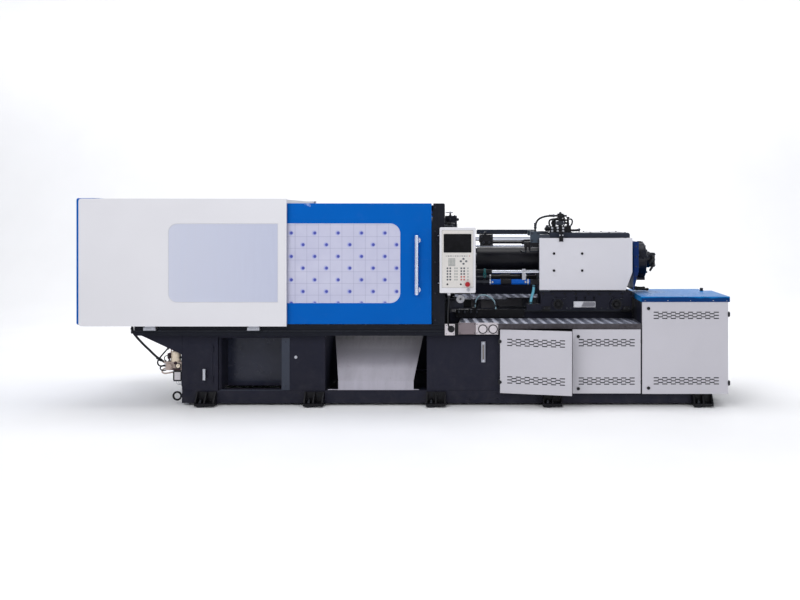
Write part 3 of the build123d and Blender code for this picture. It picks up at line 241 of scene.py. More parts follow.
def plastic(name, rgb, rough=0.4, grain=1500.0, amt=0.1, vary=0.04, coat=0.0):
    s = Shade(name)
    base = lin(rgb)
    n = s.noise(22.0, 4, 0.6)
    s.put("Base Color", s.ramp(n, [(0.3, shade(base, 1 - vary)), (0.7, shade(base, 1 + vary))]))
    s.put("Roughness", s.span(n, 0.3, 0.7, rough - 0.04, rough + 0.08))
    s.put("Normal", s.bump(s.noise(grain, 1, 0.5), amt, 0.0003))
    s.put("Specular IOR Level", 0.3)
    s.put("Coat Weight", coat)
    return s.mat


WHITE = paint("white_powder_coat", (217, 216, 220), rough=0.5, vary=0.018, marks=0.03, wave=0.05, grain_amt=0.16)
COVER = paint("light_grey_cover", (204, 203, 210), rough=0.46, vary=0.02, marks=0.035, wave=0.05, grain_amt=0.16)
CABINET = paint("cabinet_grey", (188, 186, 193), rough=0.5, vary=0.03, marks=0.05, wave=0.07, grain_amt=0.18)
BLUE = paint("blue_enamel", (0, 90, 178), rough=0.34, vary=0.04, marks=0.04, wave=0.06, grain_amt=0.06, spec=0.06)
HOOD_BLUE = paint("hood_blue", (0, 110, 180), rough=0.3, vary=0.05, marks=0.04, wave=0.14, grain_amt=0.06, spec=0.08)
NAVY = paint("navy_enamel", (3, 38, 92), rough=0.34, vary=0.07, marks=0.05, spec=0.10)
BED = paint("bed_grey_enamel", (29, 30, 43), rough=0.42, vary=0.08, marks=0.035, dust=0.06, wave=0.10, grain_amt=0.06, spec=0.12)
INSET = paint("recess_sheet", (38, 41, 56), rough=0.22, vary=0.14, marks=0.04, dust=0.06, wave=0.3, grain_amt=0.04, spec=0.26)
# lighter than the bed grey: painted highlight for the light the strip reflects
JAMB_PAINTED_HIGHLIGHT = paint("recess_jamb", (44, 50, 64), rough=0.3, vary=0.08, marks=0.06, wave=0.2, spec=0.35)
FRAME = paint("frame_grey_enamel", (24, 26, 34), rough=0.42, vary=0.08, marks=0.05, wave=0.05, spec=0.10)
BLACK = paint("black_enamel", (15, 15, 20), rough=0.36, vary=0.1, marks=0.08, spec=0.2)
SHROUD = paint("shroud_black", (18, 18, 25), rough=0.3, vary=0.1, marks=0.06, wave=0.12, spec=0.22)
MOTOR = paint("motor_blue_black", (6, 9, 26), rough=0.34, vary=0.1, marks=0.06, spec=0.25)
PUMP = paint("motor_grey_green", (52, 60, 68), rough=0.42, vary=0.08, marks=0.12, dust=0.2, spec=0.25)
TOP = paint("top_plate_slate", (34, 40, 54), rough=0.4, vary=0.08, marks=0.06, spec=0.2)
TEAL = paint("teal_casting", (50, 62, 74), rough=0.4, vary=0.08, marks=0.10, spec=0.3)
TEALGREEN = paint("teal_fitting", (24, 92, 96), rough=0.34, vary=0.08, marks=0.05, spec=0.3)
BROWN = paint("oily_base_plate", (58, 50, 52), rough=0.4, vary=0.2, marks=0.08, grain_amt=0.2, spec=0.25)
BEIGE = paint("beige_plate", (116, 106, 110), rough=0.42, vary=0.22, marks=0.22, grain_amt=0.3, spec=0.25)
SOCKET = paint("socket_cap", (198, 192, 196), rough=0.4, vary=0.04, marks=0.05, spec=0.3)
GAUGE = paint("gauge_case", (150, 152, 162), rough=0.34, vary=0.06, marks=0.05, spec=0.3)
IRON = paint("platen_casting", (58, 63, 72), rough=0.45, vary=0.08, grain=260.0, grain_amt=0.35, marks=0.12, metallic=0.2, spec=0.25)
CYL_BLUE = paint("cylinder_blue", (2, 84, 178), rough=0.28, coat=0.08, vary=0.06, marks=0.04, spec=0.12)
CAST = paint("pale_pump_casting", (176, 160, 152), rough=0.4, vary=0.16, marks=0.25, grain=300.0, grain_amt=0.3, spec=0.3)
MAROON = paint("valve_maroon", (48, 28, 36), rough=0.4, vary=0.15, marks=0.1, spec=0.2)
PANEL = paint("panel_off_white", (212, 211, 215), rough=0.46, vary=0.015, marks=0.03, grain_amt=0.16)
CHROME = metal("hard_chrome", (216, 220, 230), rough=0.1, along=(1, 90, 90), amount=0.04, stain=0.05, vary=0.03)
STEEL = metal("turned_steel", (168, 171, 178), rough=0.26, along=(60, 8, 8), amount=0.12)
RAIL = metal("ground_rail", (150, 152, 158), rough=0.24, along=(1, 70, 70), amount=0.10, stain=0.25)
ZINC = metal("zinc_plate", (186, 188, 196), rough=0.3, along=(20, 20, 20), amount=0.08, stain=0.2)
DARKSTEEL = metal("black_oxide_steel", (58, 60, 66), rough=0.34, along=(12, 12, 12), amount=0.1, stain=0.2)
NICKEL = metal("nickel_plate", (198, 199, 205), rough=0.2, along=(20, 20, 20), amount=0.04, stain=0.08)
ALU = metal("satin_aluminium", (222, 230, 250), rough=0.26, along=(8, 8, 8), amount=0.02, stain=0.04)
BRASS = metal("brass", (196, 164, 98), rough=0.24, along=(30, 30, 30), amount=0.08, stain=0.2)
COPPER = metal("copper_tube", (176, 112, 78), rough=0.3, along=(20, 20, 20), amount=0.05, stain=0.2)
RUBBER = plastic("hose_rubber", (20, 21, 24), rough=0.46, grain=800.0, amt=0.3)
BLACKPLASTIC = plastic("black_plastic", (22, 23, 27), rough=0.42)
RED = plastic("stop_red", (156, 10, 26), rough=0.26, coat=0.4, amt=0.03)
CREAM = plastic("reservoir_cream", (222, 208, 188), rough=0.32, coat=0.2)
CYAN = plastic("pale_blue_tube", (96, 168, 190), rough=0.24, coat=0.5, amt=0.02)
PALETUBE = plastic("frosted_tube", (150, 182, 194), rough=0.34, coat=0.2, amt=0.02)
# pale bluish colour of the front window's bead: a painted highlight along its rounded lip
BEAD_PAINTED_HIGHLIGHT = plastic("film_edge", (206, 212, 232), rough=0.32, coat=0.1, amt=0.05)
KEYGREY = plastic("key_grey", (150, 152, 150), rough=0.5)
KEYDARK = plastic("key_slate", (66, 70, 80), rough=0.45)
KEYRED = plastic("key_red", (168, 74, 66), rough=0.45)
GREENP = plastic("terminal_green", (60, 120, 84), rough=0.5)
GASKET = plastic("gasket", (30, 31, 34), rough=0.7)
AMBER = plastic("sight_oil", (104, 98, 92), rough=0.12, coat=0.6, amt=0.0)


def membrane():
    s = Shade("membrane_beige")
    n = s.noise(60.0, 3, 0.5)
    s.put("Base Color", s.ramp(n, [(0.3, lin((205, 201, 196))), (0.7, lin((212, 208, 204)))]))
    s.put("Roughness", 0.36)
    s.put("Normal", s.bump(s.noise(2400.0, 1, 0.5), 0.1, 0.0002))
    return s.mat


def screen():
    # dark glass over a display that is off, with a faint dust
    s = Shade("screen_glass")
    n = s.noise(7.0, 3, 0.6)
    s.put("Base Color", s.ramp(n, [(0.3, (0.0035, 0.0035, 0.004, 1)), (0.75, (0.010, 0.010, 0.012, 1))]))
    s.put("Roughness", s.span(s.noise(90.0, 3, 0.6), 0.3, 0.7, 0.10, 0.22))
    s.put("Specular IOR Level", 0.12)
    return s.mat


def plain_film():
    # clear sheet still under its pale blue protective film
    s = Shade("protective_film")
    x = s.span(s.axis(0), -2.25, -1.19)
    streak = s.noise(3.0, 3, 0.55, s.scaled((9, 1, 0.8)))
    col = s.mix(x, lin((196, 199, 214)), lin((185, 189, 209)))
    col = s.mix(s.span(streak, 0.35, 0.7, 0.0, 0.35), col, lin((192, 197, 216)))
    s.put("Base Color", col)
    s.put("Roughness", 0.34)
    s.put("Coat Weight", 0.25)
    s.put("Coat Roughness", 0.15)
    s.put("Normal", s.bump(s.noise(3.0, 2, 0.5, s.scaled((5, 1, 0.7))), 0.12, 0.004))
    return s.mat


def printed_film():
    # pale film printed with a thin grid and round dots in a checkerboard, with a painted shadow just left of each dot
    s = Shade("printed_film")
    pitch = 0.1131
    u = s.math("MULTIPLY", s.math("ADD", s.axis(0), 1.0785), 1 / pitch)
    v = s.math("MULTIPLY", s.math("SUBTRACT", 1.6824, s.axis(2)), 1 / pitch)
    base = s.mix(s.span(s.noise(4.0, 3, 0.6), 0.35, 0.7), lin((187, 187, 209)), lin((196, 196, 215)))
    weave = s.math("MULTIPLY", s.span(s.math("SINE", s.math("MULTIPLY", s.axis(0), 1100.0)), -1, 1, 0, 1), s.span(s.math("SINE", s.math("MULTIPLY", s.axis(2), 1100.0)), -1, 1, 0, 1))
    base = s.mix(s.math("MULTIPLY", weave, 0.16), base, lin((150, 158, 204)))
    for c in (u, v):
        f = s.math("ABSOLUTE", s.math("SUBTRACT", s.math("FRACT", s.math("ADD", c, 0.19)), 0.5))
        line = s.span(f, 0.012, 0.034, 0.34, 0.0)
        base = s.mix(line, base, lin((120, 122, 158)))
    iu, iv = s.math("ROUND", u), s.math("ROUND", v)
    odd = s.math("ABSOLUTE", s.math("SUBTRACT", s.math("FRACT", s.math("MULTIPLY", s.math("ADD", s.math("ADD", iu, iv), 40.0), 0.5)), 0.0))
    du, dv = s.math("SUBTRACT", u, iu), s.math("SUBTRACT", v, iv)
    d = s.math("SQRT", s.math("ADD", s.math("MULTIPLY", du, du), s.math("MULTIPLY", dv, dv)))
    on = s.span(odd, 0.2, 0.3, 1.0, 0.0)
    # painted shadow of each dot: a soft disc shifted to the dot's left
    dh = s.math("ADD", du, 0.05)
    d2 = s.math("SQRT", s.math("ADD", s.math("MULTIPLY", dh, dh), s.math("MULTIPLY", dv, dv)))
    dot_painted_shadow = s.math("MULTIPLY", on, s.span(d2, 0.12, 0.25, 0.62, 0.0))
    dot = s.math("MULTIPLY", on, s.span(d, 0.10, 0.155, 0.92, 0.0))
    base = s.mix(dot_painted_shadow, base, lin((112, 124, 206)))
    base = s.mix(dot, base, lin((38, 52, 156)))
    s.put("Base Color", base)
    s.put("Roughness", 0.36)
    s.put("Coat Weight", 0.2)
    s.put("Coat Roughness", 0.2)
    s.put("Normal", s.bump(s.noise(2.6, 3, 0.5), 0.14, 0.006))
    return s.mat


def tread(name, clean, dirty, metallic):
    s = Shade(name)
    dirt = s.noise(11.0, 5, 0.7)
    col = s.mix(s.span(dirt, 0.4, 0.7), lin(clean), lin(dirty))
    s.put("Base Color", col)
    s.put("Metallic", metallic)
    s.put("Roughness", s.span(dirt, 0.3, 0.7, 0.28, 0.5))
    s.put("Normal", s.bump(s.noise(500.0, 2, 0.5), 0.15, 0.0004))
    return s.mat


def chute():
    s = Shade("chute_sheet")
    fall = s.noise(2.4, 5, 0.65, s.scaled((3.0, 1.0, 0.5)))
    spots = s.noise(26.0, 5, 0.7)
    # darker towards the top: painted shade under the overhanging bed and gate rail
    z = s.span(s.axis(2), 0.34, 0.60)
    col = s.mix(z, lin((176, 173, 184)), lin((30, 29, 36)))
    col = s.mix(s.span(fall, 0.35, 0.75, 0.0, 0.45), col, lin((140, 136, 144)))
    col = s.mix(s.span(spots, 0.6, 0.75, 0.0, 0.3), col, lin((98, 94, 98)))
    s.put("Base Color", col)
    s.put("Metallic", 0.25)
    s.put("Roughness", s.span(fall, 0.3, 0.7, 0.36, 0.6))
    s.put("Normal", s.bump(s.noise(3.2, 3, 0.6), 0.25, 0.006))
    return s.mat


def scuffed_blue():
    # the sliding gate's enamel, with pale rub marks near its upper left corner
    mat = BLUE.copy()
    mat.name = "gate_blue_scuffed"
    s = Shade.__new__(Shade)
    s.mat, s.t = mat, mat.node_tree
    s.b = next(n for n in s.t.nodes if n.type == "BSDF_PRINCIPLED")
    s.obj = next(n for n in s.t.nodes if n.type == "TEX_COORD").outputs["Object"]
    old = s.b.inputs["Base Color"].links[0].from_socket
    x, z = s.axis(0), s.axis(2)
    fx = s.math("MULTIPLY", s.span(x, -1.04, -0.93), s.span(x, -0.90, -0.76, 1.0, 0.0))
    fz = s.span(z, 1.86, 1.945)
    smear = s.noise(26.0, 6, 0.75, s.scaled((1.0, 1, 1.6)), distort=0.4)
    mask = s.span(s.math("MULTIPLY", s.math("MULTIPLY", fx, fz), smear), 0.46, 0.60, 0.0, 0.55)
    s.put("Base Color", s.mix(mask, old, lin((206, 216, 236))))
    return mat


def paint_hood_front_shade():
    # the hood's front strip gets painted shade, a darker blue than the top, with an uneven painted highlight in the
    # top's lighter blue along its upper edge under the fold
    mat = HOOD_BLUE.copy()
    mat.name = "hood_front_painted_shade"
    s = Shade.__new__(Shade)
    s.mat, s.t = mat, mat.node_tree
    s.b = next(n for n in s.t.nodes if n.type == "BSDF_PRINCIPLED")
    s.obj = next(n for n in s.t.nodes if n.type == "TEX_COORD").outputs["Object"]
    old = s.b.inputs["Base Color"].links[0].from_socket
    ripple = s.span(s.noise(5.0, 3, 0.6, s.scaled((1, 1, 0.2))), 0.3, 0.7, -0.008, 0.008)
    # upper band of the front keeps the lighter blue as a wavy painted highlight; below it the darker blue is painted
    # shade
    edge = s.span(s.math("ADD", s.axis(2), ripple), 1.054, 1.064)
    s.put("Base Color", s.mix(edge, lin((4, 50, 104)), old))
    return mat


HOOD_PAINTED_SHADE = paint_hood_front_shade()
def bare_plate():
    # brushed plain plate: pale where it catches the light, darker and stained to the right
    s = Shade("brushed_plain_plate")
    lines = s.noise(9.0, 3, 0.6, s.scaled((1, 70, 70)))
    lean = s.math("ADD", s.axis(0), s.math("MULTIPLY", s.axis(2), -0.45))
    glare = s.span(s.math("ADD", lean, s.math("MULTIPLY", lines, 0.02)), 1.338, 1.352)
    col = s.mix(glare, lin((214, 214, 222)), lin((118, 117, 126)))
    s.put("Base Color", s.mix(s.span(lines, 0.3, 0.7, 0.0, 0.2), col, lin((150, 150, 158))))
    s.put("Metallic", 0.3)
    s.put("Roughness", s.span(lines, 0.3, 0.7, 0.3, 0.42))
    s.put("Normal", s.bump(lines, 0.1, 0.0004))
    return s.mat


PLATE = bare_plate()
MEMBRANE, SCREEN, FILM, PRINTED, CHUTE = membrane(), screen(), plain_film(), printed_film(), chute()
# bar finishes come as lit and shaded copies: the brighter ones are painted highlight on bars turned to the light, the
# dull one painted shade on bars turned away
TREAD = tread("tread_plate", (84, 87, 102), (64, 64, 74), 0.3)
FRONT_TREAD_PAINTED_HIGHLIGHT = tread("front_tread_bars_painted_highlight", (212, 216, 230), (172, 175, 190), 0.35)
REAR_TREAD_PAINTED_HIGHLIGHT = tread("rear_tread_bars_painted_highlight", (184, 188, 204), (134, 138, 152), 0.35)
TREAD_BARS_PAINTED_SHADE = tread("tread_bars_painted_shade", (104, 107, 122), (78, 80, 92), 0.3)
FLANGE = tread("step_flange", (66, 62, 68), (52, 46, 50), 0.1)

# ---------------------------------------------------------------- shading by angle for every hard piece
GROUP = bpy.data.node_groups.new("hard_edges", "GeometryNodeTree")
GROUP.interface.new_socket("Geometry", in_out="INPUT", socket_type="NodeSocketGeometry")
GROUP.interface.new_socket("Geometry", in_out="OUTPUT", socket_type="NodeSocketGeometry")
g_in, g_out = GROUP.nodes.new("NodeGroupInput"), GROUP.nodes.new("NodeGroupOutput")
g_set = GROUP.nodes.new("GeometryNodeSetMeshNormal")
g_angle = GROUP.nodes.new("GeometryNodeInputMeshEdgeAngle")
g_more = GROUP.nodes.new("FunctionNodeCompare")
g_more.data_type, g_more.operation = "FLOAT", "GREATER_THAN"
g_more.inputs[1].default_value = math.radians(38)
GROUP.links.new(g_in.outputs[0], g_set.inputs["Mesh"])
GROUP.links.new(g_angle.outputs["Unsigned Angle"], g_more.inputs[0])
GROUP.links.new(g_more.outputs[0], g_set.inputs["Edge Sharpness"])
g_set.inputs["Remove Custom"].default_value = True
GROUP.links.new(g_set.outputs["Mesh"], g_out.inputs[0])


def finish_edges(o, bevel, weld=True):
    if weld:
        o.modifiers.new("weld", "WELD").merge_threshold = 1e-5
    if bevel:
        b = o.modifiers.new("edges", "BEVEL")
        b.width, b.segments, b.limit_method, b.angle_limit = bevel, 2, "ANGLE", math.radians(32)
        b.use_clamp_overlap = True
    o.modifiers.new("shading", "NODES").node_group = GROUP
    n = o.modifiers.new("normals", "WEIGHTED_NORMAL")
    n.keep_sharp, n.weight = True, 60


def islands(me):
    key, parent = {}, list(range(len(me.vertices)))

    def find(a):
        while parent[a] != a:
            parent[a] = parent[parent[a]]
            a = parent[a]
        return a

    for v in me.vertices:
        k = tuple(round(c, 5) for c in v.co)
        parent[find(v.index)] = find(key.setdefault(k, v.index))
    for e in me.edges:
        parent[find(e.vertices[0])] = find(e.vertices[1])
    out = {}
    for p in me.polygons:
        out.setdefault(find(p.vertices[0]), []).append(p)
    return list(out.values())


def dress(node, mats, pick=None, bevel=0.0012):
    """Materials for a CAD node; pick gives the slot of each separate solid from its box in millimetres."""
    o = NODES[node]
    mats = mats if isinstance(mats, (list, tuple)) else [mats]
    o.data.materials.clear()
    for m in mats:
        o.data.materials.append(m)
    if pick:
        for polys in islands(o.data):
            co = [o.data.vertices[i].co for p in polys for i in p.vertices]
            lo = [min(c[k] for c in co) * 1000 for k in range(3)]
            hi = [max(c[k] for c in co) * 1000 for k in range(3)]
            i = pick(lo, hi)
            for p in polys:
                p.material_index = i
    finish_edges(o, bevel)


# ---------------------------------------------------------------- mesh helpers, all in millimetres
K = 0.001


def b_box(bm, x0, x1, y0, y1, z0, z1, m=0):
    vs = [bm.verts.new((x * K, y * K, z * K)) for x in (x0, x1) for y in (y0, y1) for z in (z0, z1)]
    for q in ((0, 1, 3, 2), (4, 6, 7, 5), (0, 4, 5, 1), (2, 3, 7, 6), (0, 2, 6, 4), (1, 5, 7, 3)):
        bm.faces.new([vs[i] for i in q]).material_index = m


def b_lathe(bm, p, axis, prof, seg=28, m=0, roll=0.0):
    """Turned shape: prof is (distance along the axis, radius) from one end to the other."""
    p, axis = Vector(p), Vector(axis).normalized()
    side = axis.orthogonal().normalized()
    other = axis.cross(side)
    rings = []
    for t, r in prof:
        if r < 1e-6:
            rings.append([bm.verts.new((p + axis * t) * K)])
            continue
        rings.append([bm.verts.new((p + axis * t + (side * math.cos(a) + other * math.sin(a)) * r) * K) for a in [roll + 2 * math.pi * i / seg for i in range(seg)]])
    for a, b in zip(rings, rings[1:]):
        for i in range(seg):
            j = (i + 1) % seg
            if len(a) == 1 and len(b) == 1:
                continue
            if len(a) == 1:
                f = (a[0], b[i], b[j])
            elif len(b) == 1:
                f = (a[i], b[0], a[j])
            else:
                f = (a[i], b[i], b[j], a[j])
            bm.faces.new(f).material_index = m
    for ring in (rings[0], rings[-1]):
        if len(ring) > 1:
            bm.faces.new(ring).material_index = m


def b_cyl(bm, p, q, r, seg=24, m=0, cham=0.0, roll=0.0):
    p, q = Vector(p), Vector(q)
    d = (q - p).length
    c = cham
    prof = [(0, r - c), (c, r), (d - c, r), (d, r - c)] if c else [(0, r), (d, r)]
    b_lathe(bm, p, q - p, prof, seg, m, roll)


def b_hex(bm, p, axis, r, h, m=0):
    """Hexagon head or nut with a chamfered top."""
    b_lathe(bm, p, axis, [(0, r), (h * 0.8, r), (h, r * 0.86)], 6, m, rnd.uniform(0, 1))


def b_screw(bm, p, axis, r, h, m=0):
    """Button head with a hexagon socket."""
    p, axis = Vector(p), Vector(axis).normalized()
    b_lathe(bm, p, axis, [(0, r), (h * 0.35, r), (h * 0.8, r * 0.82), (h, r * 0.52), (h, r * 0.44), (h * 0.35, r * 0.42), (h * 0.35, 0)], 18, m)


def b_tube(bm, pts, r, seg=12, m=0, caps=True):
    pts = [Vector(q) for q in pts]
    rings, side = [], None
    for i, q in enumerate(pts):
        t = (pts[min(i + 1, len(pts) - 1)] - pts[max(i - 1, 0)]).normalized()
        side = t.orthogonal() if side is None else side - t * side.dot(t)
        side.normalize()
        up = t.cross(side)
        rad = r[i] if isinstance(r, (list, tuple)) else r
        rings.append([bm.verts.new((q + (side * math.cos(a) + up * math.sin(a)) * rad) * K) for a in [2 * math.pi * k / seg for k in range(seg)]])
    for a, b in zip(rings, rings[1:]):
        for i in range(seg):
            bm.faces.new((a[i], b[i], b[(i + 1) % seg], a[(i + 1) % seg])).material_index = m
    if caps:
        for ring in (rings[0], rings[-1]):
            bm.faces.new(ring).material_index = m


def smooth_path(ctrl, n=8):
    """Bent pipe: straight runs with rounded corners through quadratic blends."""
    pts = [Vector(c) for c in ctrl]
    out = [pts[0]]
    for a, b, c in zip(pts, pts[1:], pts[2:]):
        k = 0.45 * min((b - a).length, (c - b).length)
        s, e = b + (a - b).normalized() * k, b + (c - b).normalized() * k
        for i in range(n + 1):
            t = i / n
            out.append(s * (1 - t) ** 2 + b * 2 * t * (1 - t) + e * t * t)
    out.append(pts[-1])
    return out


def b_prism(bm, poly, to3, d0, d1, m=0):
    """poly is a list of flat points; to3 maps (u, v, depth) to x, y, z."""
    a = [bm.verts.new(Vector(to3(u, v, d0)) * K) for u, v in poly]
    b = [bm.verts.new(Vector(to3(u, v, d1)) * K) for u, v in poly]
    bm.faces.new(a).material_index = m
    bm.faces.new(b).material_index = m
    for i in range(len(poly)):
        j = (i + 1) % len(poly)
        bm.faces.new((a[i], a[j], b[j], b[i])).material_index = m


def rounded(x0, x1, z0, z1, r, n=6):
    pts = []
    for cx, cz, a0 in ((x1 - r, z1 - r, 0), (x0 + r, z1 - r, 90), (x0 + r, z0 + r, 180), (x1 - r, z0 + r, 270)):
        for i in range(n + 1):
            a = math.radians(a0 + 90 * i / n)
            pts.append((cx + r * math.cos(a), cz + r * math.sin(a)))
    return pts


def piece(name, body, mats, build, bevel=0.0, weld=False):
    me = bpy.data.meshes.new(name)
    bm = bmesh.new()
    build(bm)
    bmesh.ops.recalc_face_normals(bm, faces=bm.faces)
    bm.to_mesh(me)
    bm.free()
    for m in mats if isinstance(mats, (list, tuple)) else [mats]:
        me.materials.append(m)
    for p in me.polygons:
        p.use_smooth = True
    o = bpy.data.objects.new(name, me)
    SC.collection.objects.link(o)
    finish_edges(o, bevel * K if bevel else 0, weld)
    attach(o, body)
    return o

# ---------------------------------------------------------------- finishes of the CAD nodes
def between(v, a, b):
    return a <= v <= b


dress("clamp_bed", [BED, RAIL, INSET, BLACK], lambda lo, hi: 3 if lo[0] < -2185 and hi[2] < 150 and lo[1] < -520 and hi[1] < -500 else 2 if between(lo[1], -336, -334) and hi[1] < -331 else 1 if lo[2] > 683 and lo[2] < 860 and hi[0] < 180 and 325 < abs(lo[1]) + abs(hi[1]) and abs(hi[1] - lo[1]) < 101 and lo[0] < -1700 and hi[2] > 700 and lo[2] > 684 else 0, bevel=0.0015)
dress("injection_bed", [BED, DARKSTEEL, PUMP, BLACK], lambda lo, hi: 1 if lo[2] > 868 and hi[2] < 890 and abs(lo[1]) < 180 else 2 if between(lo[0], 950, 970) and hi[2] < 600 and hi[1] > 500 else 3 if lo[2] > 810 and lo[1] < -200 and hi[1] < -195 else 0, bevel=0.0015)
dress("feet", [BLACK, DARKSTEEL], lambda lo, hi: 1 if hi[0] - lo[0] < 80 else 0, bevel=0.0012)
dress("drop_chute", CHUTE, bevel=0)
dress("gate_rails", [FRAME, DARKSTEEL], lambda lo, hi: 1 if hi[2] - lo[2] < 12 else 0, bevel=0.0012)
dress("fixed_platen", IRON, bevel=0.003)
dress("cylinder_platen", IRON, bevel=0.003)
dress("moving_platen", [IRON, BRASS, CYL_BLUE], lambda lo, hi: 0 if hi[2] - lo[2] > 500 else 2 if lo[0] < -1200 else 1, bevel=0.002)
dress("tie_bars", [CHROME, DARKSTEEL], lambda lo, hi: 0 if hi[0] - lo[0] > 1000 else 1, bevel=0.002)
dress("clamp_cylinder", [BLACK, STEEL, PUMP], lambda lo, hi: 0 if hi[0] - lo[0] > 500 else 2 if lo[0] < -2900 else 1, bevel=0.002)
dress("clamp_ram", CHROME, bevel=0.002)
dress("ejector", [DARKSTEEL, CHROME], lambda lo, hi: 0 if hi[1] - lo[1] > 200 else 1, bevel=0.0015)
dress("end_cover", BLUE, bevel=0)
dress("guard_frame", FRAME, bevel=0.0015)
dress("clamp_covers", WHITE, bevel=0.001)
dress("clamp_guard", WHITE, bevel=0.0012)
dress("clamp_guard_window", FILM, bevel=0)
dress("guard_carriages", ZINC, bevel=0.001)
GATE_BLUE = scuffed_blue()
dress("front_gate", [GATE_BLUE, BLACKPLASTIC], lambda lo, hi: 0 if hi[0] - lo[0] > 400 else 1, bevel=0.0012)
dress("front_gate_window", PRINTED, bevel=0)
dress("front_gate_handle", ALU, bevel=0.001)
dress("rear_gate", [BLUE, BLACKPLASTIC, PRINTED, ALU], lambda lo, hi: 0 if hi[2] - lo[2] > 1000 else 2 if hi[0] - lo[0] > 900 else 3 if hi[2] - lo[2] > 400 else 1, bevel=0.0012)
dress("panel_housing", [PANEL, FRAME], bevel=0.0008)
for p in NODES["panel_housing"].data.polygons:
    if p.center.x < 0.3605:
        p.material_index = 1
dress("panel_face", [MEMBRANE, SCREEN], lambda lo, hi: 0 if hi[2] - lo[2] > 400 else 1, bevel=0)
dress("emergency_stop", RED, bevel=0.0006)
dress("key_switch", NICKEL, bevel=0.0006)
dress("service_door", [BED, ZINC], lambda lo, hi: 0 if hi[0] - lo[0] > 100 else 1, bevel=0.001)
dress("service_fittings", [SOCKET, BLACK, GAUGE, MOTOR, BEIGE], lambda lo, hi: 3 if lo[2] > 1700 else 2 if between(lo[0], 745, 760) and hi[2] < 640 else 1 if between(lo[0], 500.9, 503) else 4 if between(lo[0], 530, 540) else 0, bevel=0.001)
for p in NODES["service_fittings"].data.polygons:
    if p.center.z > 1.876:
        p.material_index = 2
dress("step_plates", [TREAD, FLANGE], bevel=0.001)
for p in NODES["step_plates"].data.polygons:
    if abs(p.normal.y) > 0.9 and p.center.y < -0.63:
        p.material_index = 1
dress("cabinet_panels", [BED, HOOD_BLUE, CABINET, PUMP], lambda lo, hi: 0 if hi[2] > 1400 else 1 if lo[2] > 1000 and hi[0] - lo[0] > 500 and hi[1] > 590 and lo[1] > 20 else 2 if lo[1] > 615 and hi[1] < 815 and (hi[2] - lo[2] > 700 or hi[0] - lo[0] > 800) else 3 if lo[1] > 600 else 0, bevel=0.001)
dress("hood", [HOOD_BLUE, HOOD_PAINTED_SHADE], bevel=0.001)
# faces turned to the front take the darker blue: painted shade against the lighter top
for p in NODES["hood"].data.polygons:
    if p.normal.y < -0.9:
        p.material_index = 1
for n in ("cabinet_door_1", "cabinet_door_2", "cabinet_door_3", "electrical_door"):
    dress(n, CABINET, bevel=0.0008)
for n in ("door_2_lock_lower", "door_2_lock_upper", "door_3_lock_lower", "door_3_lock_upper"):
    dress(n, DARKSTEEL, bevel=0.0008)
dress("motor_and_pump", [PUMP, DARKSTEEL, BLACK], lambda lo, hi: 0 if hi[0] - lo[0] > 300 else 1 if hi[0] < 1510 else 2, bevel=0.0015)
dress("guide_rods", [CHROME, BLACK, DARKSTEEL], lambda lo, hi: 2 if hi[2] < 1225 and hi[0] - lo[0] > 300 else 1 if hi[0] - lo[0] < 300 or (hi[0] < 875 and hi[2] < 1320) else 0, bevel=0.0012)
dress("lubrication_unit", [CAST, CREAM, BED, BLACK], lambda lo, hi: 1 if hi[2] > 515 and lo[2] > 390 else 2 if lo[0] > -2180 else 3 if hi[2] < 345 else 0, bevel=0.0012)
dress("carriage", [BED, RAIL, PLATE], lambda lo, hi: 2 if hi[1] < -329 and lo[0] > 1600 and hi[0] < 1910 else 0, bevel=0.002)
dress("front_plate", [IRON, CYL_BLUE], lambda lo, hi: 0 if hi[2] - lo[2] > 400 else 1, bevel=0.002)
dress("barrel", [DARKSTEEL, ZINC], lambda lo, hi: 0 if hi[0] - lo[0] > 300 else 1, bevel=0.001)
dress("nozzle", STEEL, bevel=0.001)
dress("barrel_cover", SHROUD, bevel=0.0008)
dress("injection_covers", COVER, bevel=0.001)
dress("top_plate", TOP, bevel=0.001)
dress("carriage_cylinders", [BLACK, TEAL, CYL_BLUE, ZINC, TOP], lambda lo, hi: 1 if lo[2] > 1500 and lo[0] > 1200 else 4 if lo[1] > 340 else 0, bevel=0.0015)
for p in NODES["carriage_cylinders"].data.polygons:
    c = p.center * 1000
    if p.material_index == 0 and c.x < 1243 and c.z < 1560 and c.y < 0:
        p.material_index = 3 if c.z > 1214 else 0 if between(c.x, 946, 1057) else 2
dress("hose_manifold", BLACK, bevel=0.0015)
dress("screw", STEEL, bevel=0.0008)
dress("thrust_block", [IRON, CHROME], lambda lo, hi: 0 if hi[2] - lo[2] > 300 else 1, bevel=0.002)
dress("rear_housing", [NAVY, BLUE], bevel=0.002)
# faces turned to the left take the lighter blue, the rest stay navy: the lighter blue is a painted highlight on the
# face seen through the gap
for p in NODES["rear_housing"].data.polygons:
    if p.normal.x < -0.9:
        p.material_index = 1
dress("screw_motor", MOTOR, bevel=0.002)

